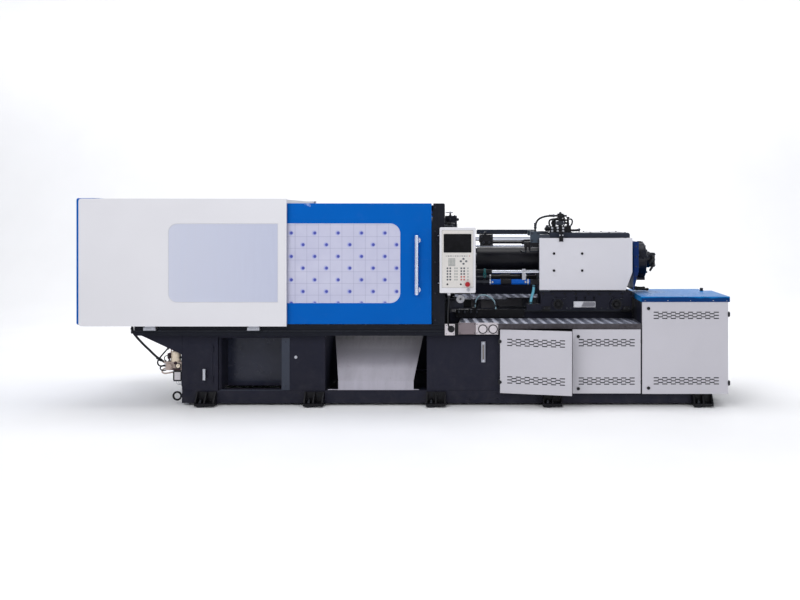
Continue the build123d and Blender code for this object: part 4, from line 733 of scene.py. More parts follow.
# ---------------------------------------------------------------- hoses
ROUTES = {
    "panel_cable": (8.0, [
        (448, -752, 1089.8), (448, -752, 1030), (442, -760, 960), (438, -769, 890), (440, -768, 828),
        (450, -740, 777), (466, -699, 757), (466, -652.2, 757),
    ]),
    "manifold_hose": (10.0, [
        (1296, -298, 1692.2), (1296, -298, 1760), (1326, -266, 1816), (1392, -205, 1842),
        (1460, -150, 1850), (1530, -150, 1850),
    ]),
    "water_hose": (14.0, [
        (1281, -318, 1159.8), (1281, -318, 1112), (1268, -320, 1060), (1250, -316, 1008), (1250, -316, 960.2),
    ]),
    "cooling_hose": (7.0, [
        (688, -222, 920.2), (688, -222, 972), (716, -224, 1028), (772, -225, 1052), (850, -224, 1020),
        (898, -222, 965), (898, -222, 899.2),
    ]),
    "lube_hose": (11.0, [
        (-2650, -571, 787), (-2650, -571, 722), (-2612, -565, 668), (-2556, -552, 598), (-2490, -535, 527),
        (-2429, -508, 451.6), (-2364, -508, 414),
    ]),
}


def nurbs(name, route, bevel):
    r, ctrl = ROUTES[route]
    cu = bpy.data.curves.new(name, "CURVE")
    cu.dimensions = "3D"
    sp = cu.splines.new("NURBS")
    sp.points.add(len(ctrl) - 1)
    for p, c in zip(sp.points, ctrl):
        p.co = (c[0] * K, c[1] * K, c[2] * K, 1)
    sp.order_u = 3
    sp.use_endpoint_u = True
    sp.resolution_u = 16
    if bevel:
        cu.bevel_depth = r * K
        cu.bevel_resolution = 6
        cu.use_fill_caps = True
    o = bpy.data.objects.new(name, cu)
    SC.collection.objects.link(o)
    return o


def centreline(route):
    o = nurbs("line", route, False)
    me = bpy.data.meshes.new_from_object(o)
    pts = [v.co.copy() / K for v in me.vertices]
    data = o.data
    bpy.data.objects.remove(o)
    bpy.data.curves.remove(data)
    bpy.data.meshes.remove(me)
    return pts


def ferrule(bm, p, axis, r, m_nut=0, m_sleeve=0):
    """Crimped sleeve and hexagon nut on a hose's end; axis points out of the hose's end."""
    p, axis = Vector(p), Vector(axis).normalized()
    s = p - axis * 62
    b_lathe(bm, s, axis, [(0, r * 1.02), (3, r * 1.28), (10, r * 1.28), (12, r * 1.16), (20, r * 1.16), (22, r * 1.28), (30, r * 1.28), (32, r * 1.1), (38, r * 1.1)], 20, m_sleeve)
    b_lathe(bm, s + axis * 37, axis, [(0, r * 1.35), (2, r * 1.5), (18, r * 1.5), (20, r * 1.35), (25, r * 0.9)], 6, m_nut)


HOSES = (
    ("manifold_hose", "carriage", RUBBER, "hanging", "rubber"), ("water_hose", "carriage", CYAN, "hanging", "clear_hose"),
    ("cooling_hose", "base", PALETUBE, "loose", "clear_hose"), ("lube_hose", "base", RUBBER, "hanging", "rubber"),
)
for route, body, mat, lay, slot_name in HOSES:
    r, ctrl = ROUTES[route]
    line = centreline(route)
    o = nurbs(route + "_tube", route, True)
    o.data.materials.append(mat)
    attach(o, body)
    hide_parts(route)
    a, b = Vector(ctrl[0]), Vector(ctrl[-1])

    def ends(bm, a=a, b=b, r=r, ctrl=ctrl, bands=route == "water_hose"):
        for p, q in ((a, Vector(ctrl[1])), (b, Vector(ctrl[-2]))):
            if bands:
                # spigot nut and a thin worm-drive band on the clear hose
                d = (q - p).normalized()
                b_lathe(bm, p, d, [(0, r * 1.12), (1, r * 1.22), (8, r * 1.22), (9, r * 1.04)], 6, 0)
                b_lathe(bm, p + d * 13, d, [(0, r * 1.02), (1, r * 1.12), (9, r * 1.12), (10, r * 1.02)], 28, 0)
                b_cyl(bm, p + d * 18 + Vector((-6, -r * 1.2, 0)), p + d * 18 + Vector((6, -r * 1.2, 0)), 3.2, 10)
                continue
            ferrule(bm, p + (q - p).normalized() * 24, p - q, r)

    fit = piece(route + "_fittings", body, DARKSTEEL, ends)

line = centreline("panel_cable")
cable = piece("panel_cable_tube", "base", RUBBER, lambda bm: b_tube(bm, line, 8.0, 16))
cable.parent = None
del cable["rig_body"]
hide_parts("panel_cable")
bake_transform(cable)

# ---------------------------------------------------------------- operator's panel
FACE = -799.4


def keypad(bm):
    # slots: 0 grey key, 1 slate key, 2 red key, 3 black
    def key(x, z, w, h, m, t=1.0):
        b_prism(bm, rounded(x - w / 2, x + w / 2, z - h / 2, z + h / 2, min(w, h) * 0.22, 3), lambda u, v, d: (u, d, v), FACE - t, FACE, m)

    for i in range(10):
        key(427 + i * 21.5, 1467, 15, 6.5, 1 if i % 3 else 0)
    key(645, 1467, 10, 8, 2)
    for i in range(5):
        for j in range(6):
            key(451 + i * 13.4, 1440 - j * 12.8, 11.2, 10.4, 0)
    for x, z in ((589, 1440), (563, 1417), (615, 1417), (589, 1394)):
        key(x, z, 19, 17, 1)
        b_prism(bm, [(x - 4, z - 3), (x + 4, z - 3), (x, z + 4)], lambda u, v, d: (u, d, v), FACE - 1.6, FACE - 0.9, 0)
    cols = ((437, 1), (463, 1), (508, 0), (527, 0), (568, 1), (595, 1), (631, 0))
    for ci, (x, m) in enumerate(cols):
        for j in range(5):
            mm = 2 if ci in (4, 5) and j >= 3 else m
            key(x, 1351 - j * 27, 15 if m else 12, 15, mm)
    for x in (436, 563):
        b_lathe(bm, (x, FACE - 2.4, 1199), (0, 1, 0), [(0, 6), (0.8, 8.5), (2.4, 9)], 20, 3)


piece("panel_keys", "panel", [KEYGREY, KEYDARK, KEYRED, BLACKPLASTIC], keypad)


def screen_frame(bm):
    # raised bezel lip around the display and the seam of the membrane
    for (x0, x1, z0, z1, w, t) in ((403, 661, 1502, 1674, 3.0, 1.2), (385, 680, 1167, 1711, 1.2, 0.5)):
        outer, inner = rounded(x0 - w, x1 + w, z0 - w, z1 + w, 6, 4), rounded(x0 + 0.5, x1 - 0.5, z0 + 0.5, z1 - 0.5, 5, 4)
        y0, y1 = FACE - t, FACE + 0.2
        vo0 = [bm.verts.new((u * K, y0 * K, v * K)) for u, v in outer]
        vi0 = [bm.verts.new((u * K, y0 * K, v * K)) for u, v in inner]
        vo1 = [bm.verts.new((u * K, y1 * K, v * K)) for u, v in outer]
        vi1 = [bm.verts.new((u * K, y1 * K, v * K)) for u, v in inner]
        n = len(outer)
        for i in range(n):
            j = (i + 1) % n
            bm.faces.new((vo0[i], vo0[j], vi0[j], vi0[i]))
            bm.faces.new((vo0[i], vo1[i], vo1[j], vo0[j]))
            bm.faces.new((vi0[i], vi0[j], vi1[j], vi1[i]))
            bm.faces.new((vo1[i], vi1[i], vi1[j], vo1[j]))


piece("screen_bezel", "panel", BLACKPLASTIC, screen_frame)


def stop_ring(bm):
    b_lathe(bm, (628, -803.5, 1200), (0, 1, 0), [(0, 12), (0, 21), (1.2, 22.5), (3.2, 23), (3.2, 12)], 36, 0)
    b_lathe(bm, (628, -813.2, 1200), (0, 1, 0), [(0, 11.5), (0, 15), (9, 17), (9, 11.5)], 36, 0)


piece("stop_collar", "panel", BLACKPLASTIC, stop_ring)


def stop_cap(bm):
    # ridge and dish of the mushroom head, and the finger grooves round its rim
    b_lathe(bm, (628, -840.0, 1200), (0, 1, 0), [(1.4, 0), (1.2, 7), (0.3, 12), (0.1, 14.2), (0.9, 16)], 36, 0)
    for a in range(0, 360, 30):
        t = math.radians(a)
        b_cyl(bm, (628 + 23.4 * math.cos(t), -830, 1200 + 23.4 * math.sin(t)), (628 + 23.4 * math.cos(t), -817, 1200 + 23.4 * math.sin(t)), 0.9, 8)


piece("stop_head", "emergency_stop", RED, stop_cap)


def panel_back(bm):
    # ribs, screws and the cable gland of the housing
    for z in (1150, 1704):
        for x in (376, 689):
            b_screw(bm, (x, PB, z), (0, 1, 0), 4.2, 2.6, 0)
    for i in range(9):
        b_prism(bm, rounded(470, 640, 1500 + i * 14, 1505 + i * 14, 2.4, 3), lambda u, v, d: (u, d, v), PB - 0.2, PB + 2.2, 1)
    b_lathe(bm, (448, -752, 1091), (0, 0, -1), [(0, 17), (1, 18), (9, 18), (10, 15), (19, 13.5), (34, 9.2)], 24, 1)


PB = -712.0
piece("panel_trim", "panel", [ZINC, BLACKPLASTIC], panel_back)


piece("swivel_pin_caps", "panel", ZINC, lambda bm: [b_lathe(bm, (347, -690, z - up * 0.4), (0, 0, up), [(0, 11), (1.5, 12.5), (5, 12.5), (7, 9), (7.5, 0)], 20, 0) for z, up in ((1205, -1), (1655, 1))])

# ---------------------------------------------------------------- front gate, outer guard
def window_bead(x0, x1, z0, z1, r_l, r_r, y0, y1, w):
    """Rubber bead between a sheet and its window; rounded corners left and right."""
    def outline(g):
        pts = []
        for cx, cz, a0, r in ((x1 - r_r, z1 - r_r, 0, r_r), (x0 + r_l, z1 - r_l, 90, r_l), (x0 + r_l, z0 + r_l, 180, r_l), (x1 - r_r, z0 + r_r, 270, r_r)):
            for i in range(9):
                a = math.radians(a0 + 90 * i / 8)
                pts.append((cx + (r - g) * math.cos(a), cz + (r - g) * math.sin(a)))
        return pts

    def build(bm):
        loops = [[bm.verts.new((u * K, y * K, v * K)) for u, v in outline(g)] for g, y in ((0.2, y0), (w * 0.5, y0 - 1.2), (w, y0), (w, y1), (0.2, y1))]
        n = len(loops[0])
        for a, b in zip(loops, loops[1:] + loops[:1]):
            for i in range(n):
                j = (i + 1) % n
                bm.faces.new((a[i], a[j], b[j], b[i]))
    return build


# the bead takes a pale colour as a painted highlight along the window's edge
piece("front_gate_bead", "front_gate", BEAD_PAINTED_HIGHLIGHT, window_bead(-1149.8, -27.2, 1005.2, 1774.8, 99.8, 99.8, -646.6, -641, 3.0))
def film_edge(bm):
    # the printed film runs on over the gate's frame at the left, past the window's rounded corners
    for z0, z1, y in ((1000, 1780, -648.2),):
        b_prism(bm, rounded(-1158, -1042, z0 + 4.5, z1 - 4.5, 2, 2), lambda u, v, d: (u, d, v), y - 0.35, y, 0)


piece("front_gate_film_edge", "front_gate", PRINTED, film_edge)
piece("clamp_guard_bead", "clamp_guard", COVER, window_bead(-2250.8, -1195.2, 1016.2, 1774.8, 84.8, 3.8, -698.6, -693, 5.0))
piece("rear_gate_bead", "rear_gate", GASKET, window_bead(-1149.8, -27.2, 1005.2, 1774.8, 99.8, 99.8, 641, 646.6, 3.0))


def gate_trim(side):
    s = -1 if side == "front" else 1
    y = s * 648

    def build(bm):
        # screws of the handle's feet, bolts along the top edge and buffers at the closing edge
        for z in (1134, 1613):
            for dx in (-19, 19):
                b_screw(bm, (141 + dx, s * 655, z), (0, s, 0), 3.4, 2.0, 0)
        for x in range(-1150, 260, 200):
            b_screw(bm, (x, y, 1945), (0, s, 0), 5.0, 2.6, 2)
        for z in (900, 1860):
            b_lathe(bm, (274, s * 634, z), (1, 0, 0), [(0, 9), (6, 9), (11, 6), (12, 0)], 18, 1)
    return build


piece("front_gate_screws", "front_gate", [NICKEL, GASKET, BLUE], gate_trim("front"))
piece("rear_gate_screws", "rear_gate", [NICKEL, GASKET, BLUE], gate_trim("rear"))


def guard_screws(bm):
    for z in (1996, 806):
        for x in range(-3060, -1130, 240):
            b_screw(bm, (x, -700, z), (0, -1, 0), 4.2, 2.0, 0)


piece("clamp_guard_screws", "clamp_guard", WHITE, guard_screws)


def end_cover_screws(bm):
    for s in (-1, 1):
        for z in range(900, 1960, 210):
            b_screw(bm, (-3002, s * 662, z), (0, s, 0), 5, 3, 0)
    for y in (-520, -260, 0, 260, 520):
        b_screw(bm, (-3004, y, 2020), (0, 0, 1), 5, 3, 0)
    for z in (1500, 1540, 1580, 1620, 1660):
        b_prism(bm, rounded(-190, 190, z, z + 14, 6, 4), lambda u, v, d: (d, u, v), -3162.5, -3159, 1)


piece("end_cover_vents", "base", [NICKEL, BLUE], end_cover_screws)


def carriage_rollers(bm):
    # rollers set in the guard's carriages, on the ledge
    for x in (-2491, -1493):
        for hx in (x + 24, x + 94):
            b_lathe(bm, (hx, -697.5, 760), (0, -1, 0), [(0, 11), (1.5, 12), (3.5, 11), (3.5, 5), (5.5, 4.6), (6, 0)], 20, 0)
        b_lathe(bm, (x + 59, -697.5, 760), (0, -1, 0), [(0, 8), (3, 8), (4, 5), (4, 0)], 6, 0)


piece("guard_carriage_rollers", "clamp_guard", ZINC, carriage_rollers)

# ---------------------------------------------------------------- tread plates
def tread_bars(x0, x1, y0, y1, z, pitch, n=5, skip=None, lean=0.0):
    """Raised bars in groups of five, each group turned against the next; lean shifts each row a little."""
    def build(bm):
        cols, rows = int((x1 - x0) / pitch), max(int((y1 - y0) / pitch), 1)
        mx, my = (x1 - x0 - cols * pitch) / 2, (y1 - y0 - rows * pitch) / 2
        for i in range(cols):
            for j in range(rows):
                cx, cy = x0 + mx + (i + 0.5) * pitch - lean * j, y0 + my + (j + 0.5) * pitch
                if (skip and skip(cx, cy)) or cx < x0 + pitch / 2:
                    continue
                up = i % 2 if lean else (i + j) % 2
                a = math.radians(45 if up else -45)
                ux, uy = math.cos(a), math.sin(a)
                for k in range(n):
                    off = (k - (n - 1) / 2) * pitch * 0.155
                    ln = pitch * (0.46 - 0.035 * abs(k - (n - 1) / 2))
                    px, py = cx - uy * off, cy + ux * off
                    base, top = [], []
                    for du, dv in ((-ln, 0), (-ln * 0.78, 2.5), (ln * 0.78, 2.5), (ln, 0), (ln * 0.78, -2.5), (-ln * 0.78, -2.5)):
                        base.append(bm.verts.new(((px + ux * du - uy * dv) * K, (py + uy * du + ux * dv) * K, z * K)))
                        top.append(bm.verts.new(((px + ux * du * 0.82 - uy * dv * 0.42) * K, (py + uy * du * 0.82 + ux * dv * 0.42) * K, (z + 1.9) * K)))
                    made = [bm.faces.new(top)]
                    for q in range(6):
                        r = (q + 1) % 6
                        made.append(bm.faces.new((base[q], base[r], top[r], top[q])))
                    # with lean, bars turned one way keep slot 0, painted as lit, and the others take slot 1, painted as
                    # shaded
                    if lean and not up:
                        for f in made:
                            f.material_index = 1
    return build


piece("front_step_tread", "base", [FRONT_TREAD_PAINTED_HIGHLIGHT, TREAD_BARS_PAINTED_SHADE], tread_bars(540, 2300, -636, -208, 805, 46.5, lean=5.4))
piece("rear_step_tread", "base", [REAR_TREAD_PAINTED_HIGHLIGHT, TREAD_BARS_PAINTED_SHADE], tread_bars(411, 2300, 394, 824, 958, 46.5, lean=5.4))
piece("rear_step_tread_left", "base", [REAR_TREAD_PAINTED_HIGHLIGHT, TREAD_BARS_PAINTED_SHADE], tread_bars(411, 1016, 260, 388, 958, 46.5, lean=5.4))


def splash_sheets(bm):
    # dark rubber sheets at the rear step's left end: one hangs under the plate, one stands on its far edge
    b_prism(bm, [(345, 690), (640, 690), (640, 953), (405, 953), (405, 985), (345, 985)], lambda u, v, d: (u, d, v), 255, 258.5, 0)
    b_prism(bm, rounded(345, 622, 962, 1190, 12, 4), lambda u, v, d: (u, d, v), 798, 801.5, 0)
    for x in (430, 520, 600):
        b_hex(bm, (x, 254.8, 930), (0, -1, 0), 7, 5, 1)
        b_hex(bm, (x, 797.8, 980), (0, -1, 0), 7, 5, 1)
    b_prism(bm, rounded(415, 615, 960.2, 966, 2, 2), lambda u, v, d: (u, d, v), 776, 798, 1)


piece("splash_sheets", "base", [RUBBER, DARKSTEEL], splash_sheets)


def flange_tread(bm):
    # the plate's pattern runs on down its folded front edge
    n = int(1760 / 46.5)
    for i in range(n):
        cx = 542 + (i + 0.5) * 46.5
        if cx < 945:
            continue
        a = math.radians(45 if i % 2 else -45)
        ux, uz = math.cos(a), math.sin(a)
        for k in range(5):
            off = (k - 2) * 46.5 * 0.155
            ln = 46.5 * (0.44 - 0.035 * abs(k - 2))
            px, pz = cx - uz * off, 779 + ux * off
            base, top = [], []
            for du, dv in ((-ln, 0), (-ln * 0.78, 2.5), (ln * 0.78, 2.5), (ln, 0), (ln * 0.78, -2.5), (-ln * 0.78, -2.5)):
                base.append(bm.verts.new(((px + ux * du - uz * dv) * K, -640 * K, (pz + uz * du + ux * dv) * K)))
                top.append(bm.verts.new(((px + ux * du * 0.82 - uz * dv * 0.42) * K, -641.6 * K, (pz + uz * du * 0.82 + ux * dv * 0.42) * K)))
            bm.faces.new(top)
            for q in range(6):
                r = (q + 1) % 6
                bm.faces.new((base[q], base[r], top[r], top[q]))


piece("step_flange_tread", "base", FLANGE, flange_tread)


# ---------------------------------------------------------------- cabinets and hood
def door_edges(x0, x1, z0, z1, vents, turn=None):
    """Foam seal, stiffening rails, filter mats and earth stud behind a door pan, in the door's own plane."""
    def build(bm):
        y = -638
        for a, b, c, d in ((x0 + 8, x1 - 8, z0 + 8, z0 + 16), (x0 + 8, x1 - 8, z1 - 16, z1 - 8), (x0 + 8, x0 + 16, z0 + 16, z1 - 16), (x1 - 16, x1 - 8, z0 + 16, z1 - 16)):
            b_prism(bm, rounded(a, b, c, d, 3, 2), lambda u, v, dd: (u, dd, v), y + 0.1, y + 9, 0)
        zc = (z0 + z1) / 2
        for zz in (zc - 60, zc + 60):
            b_prism(bm, rounded(x0 + 30, x1 - 30, zz - 14, zz + 14, 4, 2), lambda u, v, dd: (u, dd, v), y + 0.1, y + 14, 1)
        for a, b, c, d in vents:
            b_prism(bm, rounded(a, b, c, d, 5, 3), lambda u, v, dd: (u, dd, v), y + 0.1, y + 6, 0)
        b_hex(bm, (x1 - 40, y, z0 + 40), (0, 1, 0), 6, 8, 2)
        if turn:
            px, py, ang = turn
            m = Matrix.Translation((px * K, py * K, 0)) @ Matrix.Rotation(math.radians(ang), 4, "Z") @ Matrix.Translation((-px * K, -py * K, 0))
            bmesh.ops.transform(bm, matrix=m, verts=bm.verts)
    return build


piece("door_1_back", "cabinet_door_1", [GASKET, CABINET, ZINC], door_edges(938.5, 1633, 135, 747, ((1000, 1585, 590, 664), (1000, 1585, 228, 302)), (931.5, -636, -11.6)))
piece("door_2_back", "cabinet_door_2", [GASKET, CABINET, ZINC], door_edges(1639, 2297, 130, 749, ((1690, 2250, 585, 657), (1690, 2250, 214, 286))))
piece("door_3_back", "cabinet_door_3", [GASKET, CABINET, ZINC], door_edges(2313, 3144, 126, 1014, ((2415, 3065, 849, 923), (2415, 3065, 215, 289))))


def hinge_caps(x, zs, turn=None, left=11, right=11, front=-644.5):
    def build(bm):
        for z in zs:
            b_lathe(bm, (x, -636, z - 27), (0, 0, 1), [(0, 3), (1, 6.4), (53, 6.4), (54, 3)], 16, 0)
            for dz in (-9, 9):
                b_lathe(bm, (x, -636, z + dz - 0.6), (0, 0, 1), [(0, 6.4), (0.2, 7.0), (1.0, 7.0), (1.2, 6.4)], 16, 0)
            b_prism(bm, rounded(x - left, x + right, z - 20, z + 20, 4, 3), lambda u, v, d: (u, d, v), front, -640.4, 0)
    return build


piece("door_2_hinge_caps", "cabinet_door_2", BLACKPLASTIC, hinge_caps(2304, (633, 241), left=8, right=2, front=-641.6))
piece("door_3_hinge_caps", "cabinet_door_3", BLACKPLASTIC, hinge_caps(3151, (896, 231)))


def door_1_caps(bm):
    hinge_caps(931.5, (633, 241))(bm)
    m = Matrix.Translation((931.5 * K, -636 * K, 0)) @ Matrix.Rotation(math.radians(-11.6), 4, "Z") @ Matrix.Translation((-931.5 * K, 636 * K, 0))
    bmesh.ops.transform(bm, matrix=m, verts=bm.verts)


piece("door_1_hinge_caps", "cabinet_door_1", BLACKPLASTIC, door_1_caps)


def door_1_tongues(bm):
    for z in (681, 197):
        b_prism(bm, rounded(1612, 1627, z - 9, z + 9, 3, 2), lambda u, v, d: (u, d, v), -642.4, -640.1, 0)
    m = Matrix.Translation((931.5 * K, -636 * K, 0)) @ Matrix.Rotation(math.radians(-11.6), 4, "Z") @ Matrix.Translation((-931.5 * K, 636 * K, 0))
    bmesh.ops.transform(bm, matrix=m, verts=bm.verts)


for name, x, z in (("door_2_lock_upper", 1694, 681), ("door_2_lock_lower", 1694, 177), ("door_3_lock_upper", 2373, 952), ("door_3_lock_lower", 2373, 183)):
    piece(name + "_head", name, BLACKPLASTIC, lambda bm, x=x, z=z: [
        b_lathe(bm, (x, -644.8, z), (0, -1, 0), [(0, 15.6), (1.2, 16), (2.2, 15), (2.2, 9.5), (1.2, 9.0)], 28, 0),
        b_prism(bm, rounded(x - 2.6, x + 2.6, z - 12, z + 12, 2.2, 3), lambda u, v, d: (u, d, v), -653.0, -645.2, 0),
    ])


def hood_details(bm):
    # screws along the front, corner screws on the top and the lifting knob
    for x in (2340, 2560, 2780, 3000, 3130):
        b_screw(bm, (x, -644, 1028), (0, -1, 0), 4.2, 2.2, 0)
    b_lathe(bm, (3050, 10, 1067), (0, 0, 1), [(0, 20), (2, 21), (4, 12), (14, 11), (17, 17), (26, 18), (30, 13), (31, 0)], 28, 1)
    for x in (2400, 3090):
        for y in (80, 320, 560):
            b_screw(bm, (x, y, 1035.1), (0, 0, 1), 4.2, 2.2, 0)


piece("hood_fixings", "base", [NICKEL, BLACKPLASTIC], hood_details)


def cabinet_frame(bm):
    # return edges of the low cabinets and the rubber strip on the tall one
    for x in (934.5, 1634.0):
        b_prism(bm, [(x, -612), (x + 3, -612), (x + 3, -598), (x + 16, -598), (x + 16, -595), (x, -595)], lambda u, v, d: (u, v, d), 128, 683, 0)
    b_prism(bm, [(2299, -612), (2306, -612), (2306, -595), (2299, -595)], lambda u, v, d: (u, v, d), 150, 683, 0)
    b_prism(bm, rounded(2322, 3140, 1006, 1013, 3, 2), lambda u, v, d: (u, d, v), -613.5, -611.2, 1)


piece("cabinet_returns", "base", [BED, GASKET], cabinet_frame)


def electrical_details(bm):
    for i in range(4):
        x = 660 + i * 165
        for z in (560, 260):
            for k in range(9):
                b_prism(bm, rounded(x + 4 + k * 14, x + 14 + k * 14, z, z + 30, 2, 2), lambda u, v, d: (u, d, v), 629, 660, k % 2)
        for k in range(6):
            b_prism(bm, rounded(x + 10 + k * 19, x + 22 + k * 19, 640, 655, 3, 2), lambda u, v, d: (u, d, v), 720, 723, 1)
    for z in (525, 865, 225):
        b_prism(bm, rounded(640, 1330, z, z + 22, 4, 3), lambda u, v, d: (u, d, v), 629, 665, 2)


piece("electrical_terminals", "base", [GREENP, BLACKPLASTIC, KEYGREY], electrical_details)


def electrical_front(bm):
    for i in range(7):
        b_prism(bm, rounded(1110, 1290, 300 + i * 16, 307 + i * 16, 3, 3), lambda u, v, d: (u, d, v), 831.6, 834, 0)
    b_prism(bm, rounded(1322, 1356, 470, 610, 12, 4), lambda u, v, d: (u, d, v), 831.8, 834.5, 1)
    b_lathe(bm, (1339, 838, 540), (0, 1, 0), [(0, 9), (1.6, 9), (2, 7)], 20, 1)
    for z in (255, 825):
        b_lathe(bm, (555, 829, z - 27), (0, 0, 1), [(0, 3), (1, 6.6), (53, 6.6), (54, 3)], 16, 1)


piece("electrical_door_handle", "electrical_door", [CABINET, BLACKPLASTIC], electrical_front)


# ---------------------------------------------------------------- bed
def weld_bead(bm, a, b, r=3.2, m=0):
    a, b = Vector(a), Vector(b)
    n = max(int((b - a).length / 9), 2)
    pts = [a.lerp(b, i / n) for i in range(n + 1)]
    b_tube(bm, pts, [r * (1.0 + 0.12 * (i % 2)) for i in range(n + 1)], 6, m)


def bed_details(bm):
    # seams where the plates meet the lower beam, bolts of the joint between the two beds, plugs and studs
    for x0, x1 in ((-2159, -1813), (-1116, -770), (228, 936)):
        weld_bead(bm, (x0, -580.4, 147), (x1, -580.4, 147))
    weld_bead(bm, (-2161.4, -570, 150), (-2161.4, -570, 495))
    weld_bead(bm, (-2161.6, -581, 497), (-2161.6, -581, 682), 2.6)
    for x in (-1791, -1118, -768, 226):
        weld_bead(bm, (x, -578.5, 149), (x, -578.5, 662), 2.4)
    for z in (60, 110):
        for x in (910, 966):
            b_lathe(bm, (x, -580, z), (0, -1, 0), [(0, 15), (2.5, 15), (2.5, 9)], 24, 1)
            b_hex(bm, (x, -582.5, z), (0, -1, 0), 11, 8, 1)
    # drain plugs low on the beam; the threaded plug that catches the light beside the recess is drawn by bright_plug
    for x in (-1960, -500, 640, 1300, 2600):
        b_lathe(bm, (x, -580, 62), (0, -1, 0), [(0, 13), (3, 13), (4, 10)], 20, 1)
        b_hex(bm, (x, -583.5, 62), (0, -1, 0), 8, 6, 1)
    # studs that hold the sheet in the recess
    for x in (-1760, -1150):
        for z in (200, 400, 620):
            b_screw(bm, (x, -335, z), (0, -1, 0), 6, 3.6, 1)
    # cable clips along the guard beam's underside
    for x in range(-2400, 480, 360):
        b_lathe(bm, (x, -652, 712), (0, -1, 0), [(0, 7), (2.5, 7), (3.5, 4), (3.5, 0)], 6, 1)


piece("bed_seams", "base", [BED, BED], bed_details)


def bright_plug(bm):
    b_lathe(bm, (-1052, -580, 471), (0, -1, 0), [(0, 15), (2, 15), (3.5, 11), (3.5, 5), (1.5, 4.5), (1.5, 0)], 24, 0)


def drip_tray(bm):
    # flat tray between the two beds' sides under the drop opening, with a folded lip all round
    b_prism(bm, rounded(-764, 222, -455, 556, 10, 4), lambda u, v, d: (u, v, d), 121, 124, 0)
    for a, b, c, d in ((-764, 222, -455, -452), (-764, 222, 553, 556), (-764, -761, -452, 553), (219, 222, -452, 553)):
        b_prism(bm, rounded(a, b, c, d, 1, 2), lambda u, v, dd: (u, v, dd), 124, 134, 0)


piece("drip_tray", "base", BLACK, drip_tray)
piece("threaded_plug", "base", ZINC, bright_plug)


def recess_frame(bm):
    # angle iron that frames the open recess
    for x0, x1, z0, z1 in ((-1790, -1782, 148, 662), (-1782, -1198, 148, 156), (-1782, -1198, 655, 662)):
        b_prism(bm, rounded(x0, x1, z0, z1, 1.5, 2), lambda u, v, d: (u, d, v), -566, -530, 0)


piece("recess_frame", "base", BED, recess_frame, bevel=0.8)


def foot_details(bm):
    # anchor washers and lock nuts of the levelling screws, weld seams of the brackets
    for fx in (-1915.6, -865.9, 317.0, 1443.6, 2899.7):
        for s in (-1, 1):
            b_lathe(bm, (fx - 45, s * 640, 69.8), (0, 0, 1), [(0, 10.8), (1.4, 9), (1.6, 0)], 18, 0)
            b_lathe(bm, (fx - 45, s * 640, 10.9), (0, 0, 1), [(0, 24), (3, 20), (9, 13.5)], 24, 0)
            b_lathe(bm, (fx - 45, s * 640, -0.0), (0, 0, 1), [(0, 38), (0, 39), (4, 39.4), (4, 38)], 32, 1)
            weld_bead(bm, (fx - 94, s * 594.5, 38), (fx - 82, s * 594.5, 38), 2.2, 1)


piece("foot_fittings", "base", [BLACK, GASKET], foot_details)


def gauge(bm):
    # sight glass between two hollow screws, with a plain scale beside it
    b_prism(bm, rounded(757, 793, 428, 622, 8, 4), lambda u, v, d: (u, d, v), -606.2, -603.6, 0)
    b_prism(bm, rounded(768, 782, 456, 594, 5, 4), lambda u, v, d: (u, d, v), -612.6, -606.0, 1)
    for i in range(13):
        z = 464 + i * 10
        b_prism(bm, [(759.5, z), (759.5 + (6 if i % 3 == 0 else 4), z), (759.5 + (6 if i % 3 == 0 else 4), z + 1.4), (759.5, z + 1.4)], lambda u, v, d: (u, d, v), -606.9, -606.1, 2)
    for z in (438, 612):
        b_lathe(bm, (775, -606, z), (0, -1, 0), [(0, 12.5), (2, 12.5), (2.4, 10.5), (9, 10.5), (10, 9)], 6, 3)


piece("oil_gauge_glass", "base", [GAUGE, AMBER, BLACKPLASTIC, ZINC], gauge)


def sockets(bm):
    # screw caps of the two service sockets, with their ribs and rims
    for x in (771, 870):
        b_lathe(bm, (x, -668.2, 756), (0, -1, 0), [(0, 36), (3, 35), (4, 33), (4, 12), (2.6, 10), (2.6, 0)], 40, 0)
        b_lathe(bm, (x, -666, 756), (0, -1, 0), [(0, 45), (3.4, 45), (4.4, 43), (4.4, 37), (2, 36.4)], 40, 2)
        for a in range(0, 360, 18):
            t = math.radians(a)
            b_cyl(bm, (x + 44 * math.cos(t), -669, 756 + 44 * math.sin(t)), (x + 44 * math.cos(t), -654, 756 + 44 * math.sin(t)), 1.6, 6)
    for x in (714, 910):
        for z in (716, 802):
            b_screw(bm, (x, -653, z), (0, -1, 0), 5, 2.6, 1)
    for x in (549, 690):
        for z in (716, 802):
            b_screw(bm, (x, -650, z), (0, -1, 0), 5, 2.6, 1)
    for x in (419, 488):
        for z in (711, 792):
            b_screw(bm, (x, -670, z), (0, -1, 0), 4, 2.2, 1)
    b_lathe(bm, (466, -671.0, 757), (0, 1, 0), [(0, 18), (0.5, 33), (2.4, 34), (4, 30)], 32, 2)


piece("service_sockets", "base", [SOCKET, DARKSTEEL, GASKET], sockets)


def service_door_fixings(bm):
    for x in (-2098, -1874):
        for z in (218, 597):
            b_screw(bm, (x, -584, z), (0, -1, 0), 4, 2.4, 0)
    for z in (262, 340):
        b_lathe(bm, (-1932, -584, z + 7), (0, -1, 0), [(0, 13), (2, 13), (3, 11)], 20, 0)


piece("service_door_fixings", "service_door", BED, service_door_fixings)

